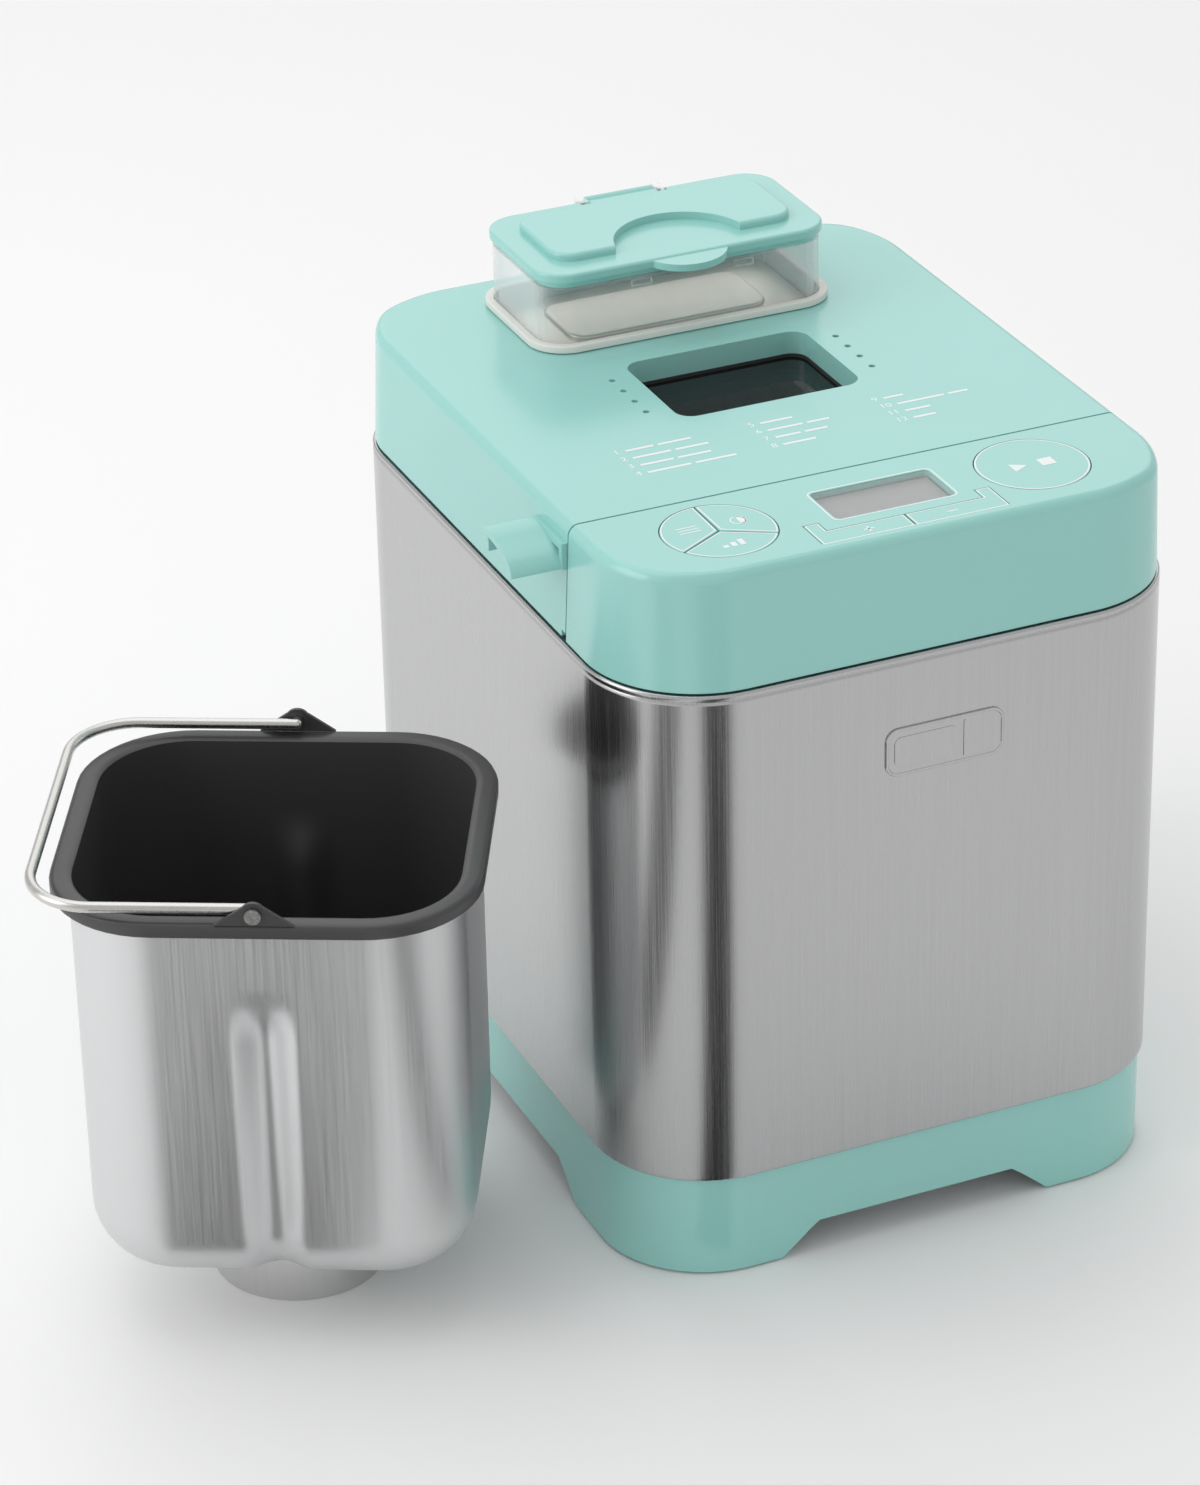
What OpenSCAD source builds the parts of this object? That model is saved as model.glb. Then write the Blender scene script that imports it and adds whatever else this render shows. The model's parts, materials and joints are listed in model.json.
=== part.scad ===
// Bread machine with a hinged lid, a lift-out ingredient dispenser and a removable bread pan.
// Millimetres. X runs along the front, the front faces -Y, Z is up from the counter.
// The origin is the middle of the front left foot, on the counter. The pan stands on the left.

/* [Pan] */
// Width of the pan's rim, along its long side
pan_rim_w = 153; // [137:1:166]
// Depth of the pan's rim
pan_rim_d = 143; // [128:1:170]
// Height of the pan's rim above what the pan stands on
pan_h = 182; // [152:1:218]
// Corner radius of the pan's rim
pan_rim_r = 40; // [34:1:46]
// Overhang of the rim beyond the pan's wall
pan_rim_lip = 6.5; // [5:0.5:8]
// Thickness of the pan's wall
pan_t = 1.6; // [1.3:0.1:2]
// Radius of the large bottom edge of the pan
pan_edge_r = 24; // [18:1:28]
// Outer radius of the collar under the pan
collar_r = 32.5; // [27:0.5:39]
// Height of the collar under the pan
collar_h = 25; // [21:0.5:30]
// Radius of the pan's shaft
pan_shaft_r = 4; // [3.3:0.1:4.8]
// Radius of the bail handle's wire
bail_r = 2; // [1.6:0.1:2.4]
// Turn of the pan on the counter, in degrees
pan_turn = -27; // [-40:1:0]
// Gap on the counter between the machine and the unturned pan
pan_gap = 26; // [20:0.5:45]
// Place of the pan's middle along the machine's depth
pan_y = -56; // [-66:0.5:0]

/* [Casing] */
// Height of the moulded base
base_h = 42; // [36:1:50]
// Outer corner radius of the casing
corner_r = 44; // [37:1:52]
// Space between the chamber liner and the casing at each side
side_space = 30.5; // [25:0.5:37]
// Depth of the control housing in front of the lid
panel_d = 62; // [58:1:74]
// Space between the control housing and the chamber
liner_setback = 31; // [26:0.5:37]
// Space between the chamber and the back of the casing
rear_space = 34; // [31:0.5:41]
// Height of the lid above the steel wrap
lid_h = 45.5; // [44:0.5:54]
// Thickness of the steel wrap
steel_t = 0.8; // [0.7:0.05:1]
// Wall thickness of the plastic mouldings
shell_t = 2.6; // [2.2:0.1:3.1]
// Radius on the top edge of the lid and the housing
edge_r = 4; // [3.4:0.1:4.8]
// How far the base sits inside the wrap's outline
base_inset = 1.8; // [1.5:0.1:2.1]
// Height of the arches between the feet
arch_h = 13.4; // [11.2:0.2:16]
// Half width of the front arch at its top
arch_half = 43; // [36:1:50]
// Half length of the side arches at their top
side_arch_half = 60; // [50:1:68]

/* [Chamber and drive] */
// Gap between the pan's rim and the chamber wall
chamber_gap = 5; // [4.2:0.1:6]
// Height of the chamber floor above the counter
floor_z = 54; // [53:0.5:62]
// Radius of the heating element's tube
element_r = 3.25; // [2.8:0.05:3.9]
// Radius of the drive shaft
drive_shaft_r = 4; // [3.3:0.1:4.8]
// Radius of the large drive pulley
drive_pulley_r = 48; // [40:1:54]
// Radius of the motor's pulley
motor_pulley_r = 8; // [6.8:0.1:9.6]
// Radius of the motor's can
motor_r = 28; // [23.5:0.5:33]
// Length of the motor's can
motor_len = 68; // [57:1:80]

/* [Lid and dispenser] */
// Width of the window opening
window_w = 74; // [62:1:88]
// Depth of the window opening
window_d = 54; // [45:1:58]
// Depth of the recess above the glass
window_well = 9; // [7.5:0.5:11]
// Width of the dispenser box
disp_w = 117; // [98:1:132]
// Depth of the dispenser box
disp_d = 61.5; // [52:0.5:66]
// Height of the dispenser box above the lid
disp_h = 25; // [21:0.5:30]
// Reach of the lid's lifting lip from its side
lip_reach = 20; // [17:0.5:24]

/* [Hidden] */
$fn = 64;

aqua = [0.71, 0.89, 0.86];
steel = [0.72, 0.72, 0.73];
dark = [0.16, 0.16, 0.17];
zinc = [0.62, 0.64, 0.66];
clear = [0.9, 0.93, 0.95, 0.4];
board_green = [0.1, 0.38, 0.22];
brass = [0.78, 0.62, 0.3];
grey = [0.45, 0.46, 0.48];

big = 1000;            // larger than the whole object
slack = 0.3;           // gap between loose neighbours
running = 0.06;        // radial clearance of a turning fit
snug = 0.02;           // radial clearance of a fixed fit
sheet_t = 1.6;         // pressed steel plates
thin_t = 0.8;          // thin pressed sheet

chamber_w = pan_rim_w + 2 * chamber_gap;
chamber_d = pan_rim_d + 2 * chamber_gap;
chamber_r = pan_rim_r + chamber_gap;
body_w = chamber_w + 2 * side_space;
body_d = panel_d + liner_setback + chamber_d + rear_space;
front_y = -body_d / 2;
rear_y = body_d / 2;
seam_y = front_y + panel_d;
chamber_y = seam_y + liner_setback + chamber_d / 2;
seat_z = floor_z + 3.8;                          // where the pan's collar rests
wrap_top = seat_z + pan_h + 1.7;
lid_top = wrap_top + lid_h;
deck_t = 3;
deck_top = wrap_top + deck_t;
seam_gap = 0.8;
lid_inset = 1;                                   // lid and housing stand inside the wrap's outline
top_w = body_w - 2 * lid_inset;
top_d = body_d - 2 * lid_inset;
top_r = corner_r - lid_inset;
base_w = body_w - 2 * base_inset;
base_d = body_d - 2 * base_inset;
base_r = corner_r - base_inset;
base_t = 3;
wrap_fold = 8;                                   // width of the wrap's folded edges
plate_z = base_h + steel_t;                      // underside of the chassis plate
chassis_top = plate_z + sheet_t;

foot_pad_r = 8;
foot_in = corner_r - (corner_r - base_inset - foot_pad_r - 4) / sqrt(2);
foot_lift = 1;                                   // the base stands this high on its rubber feet
boss_r = 5;
boss_in = corner_r - (corner_r - wrap_fold - boss_r - 2) / sqrt(2);
screw_r = 1.7;
bottom_z = arch_h + 1.6;

hinge_r = 4.8;                                   // lid hinge barrels
hinge_y = rear_y - 6;
hinge_z = wrap_top + 5.5;
hinge_x = body_w / 2 - corner_r - 20;            // middle of each lid knuckle
knuckle_l = 16;
hinge_pin_r = 1.5;
rail_half = body_w / 2 - corner_r + 4;
rear_cut = body_w / 2 - corner_r + 20;           // half width of the lid's cut over the hinge rail

window_y = seam_y + 90;
window_x = 0.8;
window_r = 7;
well_t = 2.2;
glass_t = 3;
gasket_t = 1.2;
glass_z = lid_top - window_well - gasket_t - glass_t;

disp_x = 0.8;
disp_y = seam_y + 167;
disp_r = 12;
disp_t = 1.8;
disp_drop = 7;                                   // how far the box reaches below the lid's top
flange_over = 3.4;
flange_t = 3;
box_low = lid_top - disp_drop;
box_top = lid_top + disp_h;
cover_t = 3.4;
cover_z = box_top + 3;
cover_axis_y = disp_y + disp_d / 2 + 4.2;
cover_axis_z = cover_z + 1.2;
ear_x = 16;
cover_pin_r = 1.1;
flap_t = 1.2;
flap_axis_y = disp_y - disp_d / 2 + disp_t + 2.6;
flap_axis_z = box_low + 2.4;
flap_pin_r = 1;
flap_barrel_r = 2;

field_r = 20.8;                                  // round key fields
field_y = front_y + 35;
menu_x = -63.2;
start_x = 59.8;
key_gap = 0.35;
key_t = 2.8;
switch_z = lid_top - 9;
key_stem_r = 2.2;
lcd_x = 0.9;
lcd_y = front_y + 36.4;
lcd_w = 46.8;
lcd_d = 22.8;
pad_x0 = -35.4;
pad_x1 = 37.2;
pad_mid = 0.5;
pad_y0 = front_y + 8.8;
pad_bar = 9.5;
pad_arm_w = 5.6;
pad_arm_top = front_y + 25;
board_z = lid_top - 15;
board_t = 1.6;
board_y1 = seam_y - seam_gap - shell_t - 1;      // rear edge of the control board

pulley_h = 10;
pulley_z = bottom_z + 9;
motor_x = -50;
shield_y = seam_y + liner_setback - 12;
motor_y = shield_y - 6 - motor_r;
motor_z = chassis_top + 14;
motor_shaft_r = 3;
harness_x = start_x + 14.2;
shield_half = chamber_w / 2 - 15;

pan_x = -(body_w / 2 + pan_rim_w / 2 + pan_gap);
pan_w = pan_rim_w - 2 * pan_rim_lip;
pan_d = pan_rim_d - 2 * pan_rim_lip;
pan_r = pan_rim_r - pan_rim_lip;
rim_t = 1.8;
bail_z = pan_h + 4.4;
bail_y = pan_rim_d / 2 - 4.2;
bail_reach = pan_rim_w / 2 + 4.5;
bail_bend = 24;
lug_t = 1.5;
rib_r = 13;
rib_in = 6;
pan_floor = collar_h + pan_t;
bush_r = 8;

gland_x = body_w / 2 - corner_r - 15;
gland_z = 28;
gland_r = 7;
gland_bore_r = 3.6;

post_x = chamber_w / 2 + 6;
post_y0 = chamber_y - chamber_d / 2 - 6;
post_y1 = chamber_y + chamber_d / 2 + 2;
post_r = 3.5;

hub_r = 14;
seat_flange_r = collar_r + 11;
bush_out_r = 9;
element_z = floor_z + thin_t + 9;
element_w = pan_w - 2;
element_d = pan_d - 3;
element_bend = pan_r + 2;
terminal_x = 11;
sensor_x = 52;
sensor_z = floor_z + 62;

lip_len = 26;
lip_z = lid_top - 7;
lip_drop = 10;
lip_t = 2.6;

liner_z = deck_top + 3;
liner_x = chamber_w / 2 + 8;
liner_y0 = seam_y + 7;
liner_y1 = disp_y + disp_d / 2 + 7;

tab_r = 17;
tab_y = disp_y - disp_d / 2 + 6;

// ---- shapes used by several parts ----

// Rounded rectangle
module rrect(w, d, r) {
  square([w - 2 * r, d], center = true);
  square([w, d - 2 * r], center = true);
  for (sx = [-1, 1], sy = [-1, 1]) translate([sx * (w / 2 - r), sy * (d / 2 - r)]) circle(r);
}

// Rounded rectangular tube, wall measured inwards
module rtube(w, d, r, t, h) {
  linear_extrude(h) difference() {
    rrect(w, d, r);
    rrect(w - 2 * t, d - 2 * t, r - t);
  }
}

module quarter(e) {
  intersection() {
    circle(e);
    square(e);
  }
}

// Rounded block from z = 0 to h whose top edge is rounded by e
module slab(w, d, r, h, e) {
  linear_extrude(h - e) rrect(w, d, r);
  translate([0, 0, h - e]) {
    linear_extrude(e) rrect(w - 2 * e, d - 2 * e, r - e);
    for (k = [0:3]) {
      side = k % 2 == 0 ? w : d;
      other = k % 2 == 0 ? d : w;
      rotate(90 * k) {
        translate([side / 2 - r, other / 2 - r, 0])
          rotate_extrude(angle = 90) translate([r - e, 0]) quarter(e);
        translate([side / 2 - e, 0, 0]) rotate([90, 0, 0])
          linear_extrude(other - 2 * r, center = true) quarter(e);
      }
    }
  }
}

module at_corners(x, y) {
  for (sx = [-1, 1], sy = [-1, 1]) translate([sx * x, sy * y, 0]) children();
}

module hole(r, z0, z1) {
  translate([0, 0, z0]) cylinder(r = r, h = z1 - z0);
}

// Pan-head screw, head down to z = 0, shank below it
module screw(shank_r, shank, head_r, head_h) {
  translate([0, 0, -shank]) cylinder(r = shank_r, h = shank + head_h / 2);
  difference() {
    cylinder(r = head_r, h = head_h);
    for (a = [0, 90]) rotate(a)
      translate([0, 0, head_h - 0.4]) cube([head_r * 1.2, 0.7, 1], center = true);
  }
}

// ---- base and casing ----

module arch(half, rise) {
  splay = rise + 1;
  polygon([[-half - splay, -1], [half + splay, -1], [half + 1, rise - 3], [half - 3, rise],
    [3 - half, rise], [-half - 1, rise - 3]]);
}

module boss_places() {
  at_corners(body_w / 2 - boss_in, body_d / 2 - boss_in) children();
}

module base_shell() {
  color(aqua) difference() {
    union() {
      translate([0, 0, foot_lift])
        rtube(base_w, base_d, base_r, base_t, base_h - foot_lift);
      translate([0, 0, base_h - 3]) rtube(base_w, base_d, base_r, wrap_fold, 3);
      translate([0, 0, foot_lift]) linear_extrude(4) difference() {
        rrect(base_w - base_t, base_d - base_t, base_r - base_t / 2);
        square([2 * (body_w / 2 - 38), big], center = true);
        square([big, 2 * (body_d / 2 - 38)], center = true);
      }
      boss_places() hole(boss_r, foot_lift + 2, plate_z);
    }
    rotate([90, 0, 0]) linear_extrude(big, center = true) arch(arch_half, arch_h);
    rotate([90, 0, 90]) linear_extrude(big, center = true) arch(side_arch_half, arch_h);
    boss_places() hole(screw_r + snug, plate_z - 18, plate_z + 1);
    at_corners(body_w / 2 - foot_in, body_d / 2 - foot_in) hole(foot_pad_r + 0.2, 0, 3);
    translate([gland_x, rear_y, gland_z]) rotate([90, 0, 0]) cylinder(r = gland_r + snug, h = 20,
      center = true);
  }
}

module cord_gland() {
  color(dark) translate([gland_x, rear_y - base_inset, gland_z]) rotate([90, 0, 0]) difference() {
    union() {
      translate([0, 0, -base_inset]) cylinder(r = gland_r + 2, h = base_inset);
      cylinder(r = gland_r, h = base_t);
      translate([0, 0, base_t]) cylinder(r = gland_r + 2, h = 4);
    }
    cylinder(r = gland_bore_r, h = 30, center = true);
  }
}

module rubber_feet() {
  color(dark) at_corners(body_w / 2 - foot_in, body_d / 2 - foot_in) cylinder(r = foot_pad_r, h = 3);
}

module bottom_plate() {
  plate_w = base_w - 2 * base_t - 1;
  plate_d = base_d - 2 * base_t - 1;
  slots = 7;
  color(zinc) translate([0, 0, bottom_z]) linear_extrude(1) difference() {
    rrect(plate_w, plate_d, base_r - base_t - 0.5);
    boss_places() circle(boss_r + 0.5);
    for (i = [0:slots - 1], side = [-1, 1])
      translate([(i - (slots - 1) / 2) * 12, side * plate_d / 4]) square([5, 44], center = true);
  }
}

module steel_wrap() {
  slots = 9;
  color(steel) difference() {
    union() {
      translate([0, 0, base_h]) rtube(body_w, body_d, corner_r, steel_t, wrap_top - base_h);
      translate([0, 0, base_h]) rtube(body_w, body_d, corner_r, wrap_fold, steel_t);
      translate([0, 0, wrap_top - steel_t]) rtube(body_w, body_d, corner_r, wrap_fold, steel_t);
    }
    for (i = [0:slots - 1]) translate([(i - (slots - 1) / 2) * 10, rear_y, base_h + 40])
      cube([3.6, 6, 36], center = true);
  }
}

module front_plaque() {
  color(steel) translate([8, front_y, wrap_top - 37.5]) rotate([90, 0, 0]) {
    linear_extrude(0.5) rrect(47, 19, 5);
    translate([0, 0, 0.5]) for (i = [-1:1]) translate([i * 12, 0, 0])
      linear_extrude(0.3) rrect(8, 8, 2.5);
  }
}

module post_places() {
  for (sx = [-1, 1], y = [post_y0, post_y1]) translate([sx * post_x, y, 0]) children();
}

module chassis_plate() {
  color(zinc) difference() {
    translate([0, 0, plate_z]) linear_extrude(sheet_t) difference() {
      rrect(body_w - 2 * steel_t - 1, body_d - 2 * steel_t - 1, corner_r - steel_t - 0.5);
      translate([0, chamber_y]) circle(hub_r + snug);
      translate([motor_x, motor_y]) circle(motor_pulley_r + 3);
    }
    boss_places() hole(screw_r + 0.2, plate_z - 1, chassis_top + 1);
  }
}

module frame_posts() {
  color(zinc) post_places() difference() {
    hole(post_r, chassis_top, wrap_top);
    hole(screw_r + snug, wrap_top - 16, wrap_top + 1);
  }
}

module chassis_screws() {
  color(zinc) boss_places() translate([0, 0, chassis_top]) screw(screw_r, 14, 3.4, 2.2);
}

module housing_screws() {
  color(zinc) post_places() translate([0, 0, deck_top]) screw(screw_r, 14, 3.2, 2);
}

// ---- control housing, keys and display ----

module between(y0, y1) {
  translate([-big / 2, y0, -big / 2]) cube([big, y1 - y0, big]);
}

// Outer form shared by the lid and the housing, shrunk by t on every face
module top_form(t) {
  translate([0, 0, wrap_top]) slab(top_w - 2 * t, top_d - 2 * t, top_r - t, lid_h - t, edge_r - t / 2);
}

module pad_outline(grow) {
  difference() {
    translate([pad_x0 - grow, pad_y0 - grow])
      square([pad_x1 - pad_x0 + 2 * grow, pad_arm_top - pad_y0 + 2 * grow]);
    translate([pad_x0 + pad_arm_w + grow, pad_y0 + pad_bar + grow])
      square([pad_x1 - pad_x0 - 2 * (pad_arm_w + grow), big]);
  }
}

module top_housing() {
  wall_y = seam_y - seam_gap - shell_t;
  color(aqua) difference() {
    union() {
      difference() {
        intersection() {
          top_form(0);
          between(-big / 2, seam_y - seam_gap);
        }
        intersection() {
          top_form(shell_t);
          between(-big / 2, wall_y);
        }
        translate([0, 0, wrap_top - 1]) linear_extrude(2) intersection() {
          rrect(top_w - 2 * shell_t, top_d - 2 * shell_t, top_r - shell_t);
          translate([-big / 2, -big]) square([big, big + wall_y]);
        }
      }
      difference() {
        translate([0, 0, wrap_top]) linear_extrude(deck_t) intersection() {
          rrect(top_w - 2 * (shell_t + 1.4), top_d - 2 * (shell_t + 1.4), top_r - shell_t - 1.4);
          translate([-big / 2, wall_y]) square([big, hinge_y - hinge_r - 1 - wall_y]);
        }
        translate([0, chamber_y, 0]) linear_extrude(big)
          rrect(chamber_w + 2 * thin_t + 1, chamber_d + 2 * thin_t + 1, chamber_r + thin_t);
      }
      hinge_rail();
    }
    post_places() hole(screw_r + 0.2, wrap_top - 1, deck_top + 1);
    translate([0, 0, lid_top - shell_t - 1]) linear_extrude(shell_t + 2) {
      translate([menu_x, field_y]) circle(field_r + key_gap);
      translate([start_x, field_y]) circle(field_r + key_gap);
      pad_outline(key_gap);
      translate([lcd_x, lcd_y]) rrect(lcd_w, lcd_d, 2);
    }
  }
}

// Fixed half of the lid hinge, cut where the lid's knuckles turn
module hinge_rail() {
  cut = knuckle_l / 2 + 0.5;
  difference() {
    union() {
      translate([0, hinge_y, hinge_z]) rotate([0, 90, 0])
        cylinder(r = hinge_r, h = 2 * rail_half, center = true);
      translate([-rail_half, hinge_y - hinge_r - 1.2, wrap_top])
        cube([2 * rail_half, hinge_r + 1.2 + 4, hinge_z - wrap_top]);
      intersection() {
        translate([0, 0, wrap_top]) rtube(top_w, top_d, top_r, shell_t, hinge_z - wrap_top);
        translate([-rear_cut + 0.5, hinge_y - 6, 0]) cube([2 * rear_cut - 1, big, big]);
      }
    }
    for (sx = [-1, 1]) translate([sx * hinge_x - cut, hinge_y - 9, wrap_top - 1])
      cube([2 * cut, 20, 20]);
    translate([0, hinge_y, hinge_z]) rotate([0, 90, 0])
      cylinder(r = hinge_pin_r + snug, h = 2 * rail_half + 2, center = true);
  }
}

module hinge_pins() {
  color(steel) for (sx = [-1, 1]) translate([sx * hinge_x, hinge_y, hinge_z]) rotate([0, 90, 0])
    cylinder(r = hinge_pin_r, h = 27, center = true);
}

module key_body(stem_x, stem_y) {
  translate([0, 0, lid_top - key_t]) linear_extrude(key_t) children();
  translate([stem_x, stem_y, switch_z + 0.9])
    cylinder(r = key_stem_r, h = lid_top - switch_z - 1.2);
}

// One third of a round field, its middle at angle a
module field_third(a) {
  reach = 2 * field_r;
  translate([menu_x, field_y]) intersection() {
    circle(field_r);
    rotate(a) translate([key_gap, 0])
      polygon([[0, 0], [reach * cos(60), reach * sin(60)], [reach * 2, 0],
        [reach * cos(60), -reach * sin(60)]]);
  }
}

module third_key(a) {
  color(aqua) key_body(menu_x + field_r / 2 * cos(a), field_y + field_r / 2 * sin(a)) field_third(a);
}

module key_menu() {
  third_key(150);
}

module key_crust() {
  third_key(30);
}

module key_size() {
  third_key(270);
}

module pad_key(x0, x1) {
  color(aqua) key_body((x0 + x1) / 2, pad_y0 + pad_bar / 2) intersection() {
    pad_outline(0);
    translate([x0, pad_y0 - 1]) square([x1 - x0, big]);
  }
}

module key_plus() {
  pad_key(pad_x0, pad_mid - key_gap);
}

module key_minus() {
  pad_key(pad_mid + key_gap, pad_x1);
}

module key_start() {
  color(aqua) key_body(start_x, field_y) translate([start_x, field_y]) circle(field_r);
}

module display_lens() {
  color(clear) translate([lcd_x, lcd_y, lid_top - 1.9]) linear_extrude(1.6)
    rrect(lcd_w - 0.2, lcd_d - 0.2, 1.9);
}

module display_module() {
  color(dark) translate([lcd_x, lcd_y, board_z + board_t]) {
    linear_extrude(lid_top - 2.6 - board_z - board_t) rrect(lcd_w - 1, lcd_d - 1, 1);
  }
}

function key_stems() = [
  for (a = [30, 150, 270]) [menu_x + field_r / 2 * cos(a), field_y + field_r / 2 * sin(a)],
  [start_x, field_y],
  [(pad_x0 + pad_mid - key_gap) / 2, pad_y0 + pad_bar / 2],
  [(pad_x1 + pad_mid + key_gap) / 2, pad_y0 + pad_bar / 2]
];

module control_board() {
  color(board_green) {
    translate([(menu_x + start_x) / 2, (pad_y0 + board_y1) / 2, board_z]) linear_extrude(board_t)
      rrect(start_x - menu_x + 50, board_y1 - pad_y0, 3);
    for (p = key_stems()) translate([p.x, p.y, board_z + board_t]) {
      translate([-3, -3, 0]) cube([6, 6, switch_z - board_z - board_t - 0.6]);
      cylinder(r = 1.5, h = switch_z - board_z - board_t + 0.1);
    }
    translate([start_x + 6, field_y + 12, board_z + board_t]) cube([12, 6, 3]);
  }
}

// ---- chamber ----

module chamber_liner() {
  flange = 6;
  color(steel) translate([0, chamber_y, 0]) difference() {
    union() {
      translate([0, 0, floor_z]) linear_extrude(deck_top + thin_t - floor_z)
        rrect(chamber_w + 2 * thin_t, chamber_d + 2 * thin_t, chamber_r + thin_t);
      translate([0, 0, deck_top]) linear_extrude(thin_t)
        rrect(chamber_w + 2 * flange, chamber_d + 2 * flange, chamber_r + flange);
    }
    translate([0, 0, floor_z + thin_t]) linear_extrude(big) rrect(chamber_w, chamber_d, chamber_r);
    hole(hub_r + snug, floor_z - 1, floor_z + 2);
    for (sx = [-1, 1]) translate([sx * terminal_x, -chamber_d / 2, element_z]) rotate([90, 0, 0])
      cylinder(r = element_r + 1, h = 8, center = true);
    translate([sensor_x, -chamber_d / 2, sensor_z]) rotate([90, 0, 0])
      cylinder(r = 3.4, h = 8, center = true);
  }
}

module pan_seat() {
  color(zinc) translate([0, chamber_y, 0]) difference() {
    union() {
      hole(seat_flange_r, floor_z + thin_t, seat_z);
      hole(collar_r + 5, seat_z, seat_z + 10);
      hole(hub_r, chassis_top - sheet_t, floor_z + thin_t);
    }
    hole(collar_r + 0.8, seat_z, seat_z + 20);
    hole(bush_out_r + snug, plate_z - 1, seat_z + 1);
    for (a = [0, 180]) rotate(a) translate([collar_r, 0, seat_z + 7]) cube([14, 9, 10], center = true);
  }
}

module drive_bush() {
  color(brass) translate([0, chamber_y, 0]) difference() {
    hole(bush_out_r, plate_z, seat_z);
    hole(drive_shaft_r + running, plate_z - 1, seat_z + 1);
  }
}

module bend(x, y, r, tube_r, a) {
  translate([x, y, 0]) rotate(a) rotate_extrude(angle = 90) translate([r, 0]) circle(tube_r);
}

module rod(p, q, r) {
  v = q - p;
  len = norm(v);
  translate(p) rotate([0, acos(v.z / len), atan2(v.y, v.x)]) cylinder(r = r, h = len);
}

module heating_element() {
  hw = element_w / 2;
  hd = element_d / 2;
  b = element_bend;
  turn = 8;
  out = chamber_d / 2 + 9;
  color(grey) translate([0, chamber_y, element_z]) {
    bend(hw - b, hd - b, b, element_r, 0);
    bend(b - hw, hd - b, b, element_r, 90);
    bend(b - hw, b - hd, b, element_r, 180);
    bend(hw - b, b - hd, b, element_r, 270);
    rod([b - hw, hd, 0], [hw - b, hd, 0], element_r);
    for (sx = [-1, 1]) {
      rod([sx * hw, b - hd, 0], [sx * hw, hd - b, 0], element_r);
      rod([sx * (terminal_x + turn), -hd, 0], [sx * (hw - b), -hd, 0], element_r);
      rod([sx * terminal_x, -hd - turn, 0], [sx * terminal_x, -out, 0], element_r);
      bend(sx * (terminal_x + turn), -hd - turn, turn, element_r, sx > 0 ? 90 : 0);
    }
  }
}

module element_clips() {
  clip = 8;
  color(zinc) translate([0, chamber_y, 0]) difference() {
    for (s = [-1, 1]) {
      translate([s * element_w / 2 - clip / 2, -clip / 2, floor_z + thin_t])
        cube([clip, clip, element_z - floor_z - thin_t]);
      translate([s * 28 - clip / 2, element_d / 2 - clip / 2, floor_z + thin_t])
        cube([clip, clip, element_z - floor_z - thin_t]);
    }
    for (s = [-1, 1]) translate([s * element_w / 2, 0, element_z]) rotate([90, 0, 0])
      cylinder(r = element_r + snug, h = 30, center = true);
    translate([0, element_d / 2, element_z]) rotate([0, 90, 0])
      cylinder(r = element_r + snug, h = 100, center = true);
  }
}

module temperature_sensor() {
  color(steel) translate([sensor_x, chamber_y - chamber_d / 2 - thin_t, sensor_z])
    rotate([90, 0, 0]) {
      translate([0, 0, -4]) cylinder(r = 3, h = 12);
      cylinder(r = 6, h = 2);
    }
}

module thermal_fuse() {
  color(grey) translate([-sensor_x, chamber_y - chamber_d / 2 - thin_t, sensor_z]) {
    translate([-10, -1, -4]) cube([20, 1, 8]);
    translate([-7, -5, 0]) rotate([0, 90, 0]) cylinder(r = 4, h = 14);
  }
}

module heat_shield() {
  color(zinc) translate([-shield_half, shield_y, chassis_top]) {
    cube([2 * shield_half, thin_t, wrap_top - 14 - chassis_top]);
    translate([0, -10, 0]) cube([2 * shield_half, 10, thin_t]);
  }
}

// ---- drive ----

module motor_bracket() {
  color(zinc) translate([motor_x, motor_y, 0]) {
    difference() {
      translate([0, 0, motor_z - 2]) linear_extrude(2)
        rrect(2 * motor_r + 6, 2 * motor_r - 2, 8);
      hole(9, motor_z - 3, motor_z + 1);
      for (a = [45:90:315]) rotate(a) translate([motor_r - 8, 0, 0])
        hole(1.8, motor_z - 3, motor_z + 1);
    }
    at_corners(motor_r - 4, motor_r - 8) hole(3, chassis_top, motor_z - 2);
  }
}

module motor() {
  color(grey) translate([motor_x, motor_y, 0]) difference() {
    union() {
      hole(motor_r, motor_z, motor_z + motor_len - 8);
      hole(motor_r - 6, motor_z + motor_len - 8, motor_z + motor_len);
    }
    hole(motor_shaft_r + running, motor_z - 1, motor_z + 14);
    for (a = [45:90:315]) rotate(a) translate([motor_r - 8, 0, 0])
      hole(1.5 + snug, motor_z - 1, motor_z + 9);
  }
}

module motor_screws() {
  color(zinc) translate([motor_x, motor_y, motor_z - 2]) for (a = [45:90:315]) rotate(a)
    translate([motor_r - 8, 0, 0]) mirror([0, 0, 1]) screw(1.5, 9, 2.8, 1.6);
}

module motor_capacitor() {
  color(dark) translate([-motor_x, motor_y, 0]) {
    hole(15, chassis_top, chassis_top + 42);
    for (sx = [-1, 1]) translate([sx * 5 - 0.4, -3, chassis_top + 42]) cube([0.8, 6, 8]);
  }
}

module motor_pulley() {
  color(zinc) translate([motor_x, motor_y, 0]) {
    hole(motor_shaft_r, pulley_z - 1, motor_z + 12);
    hole(motor_pulley_r, pulley_z, pulley_z + pulley_h);
  }
}

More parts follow.
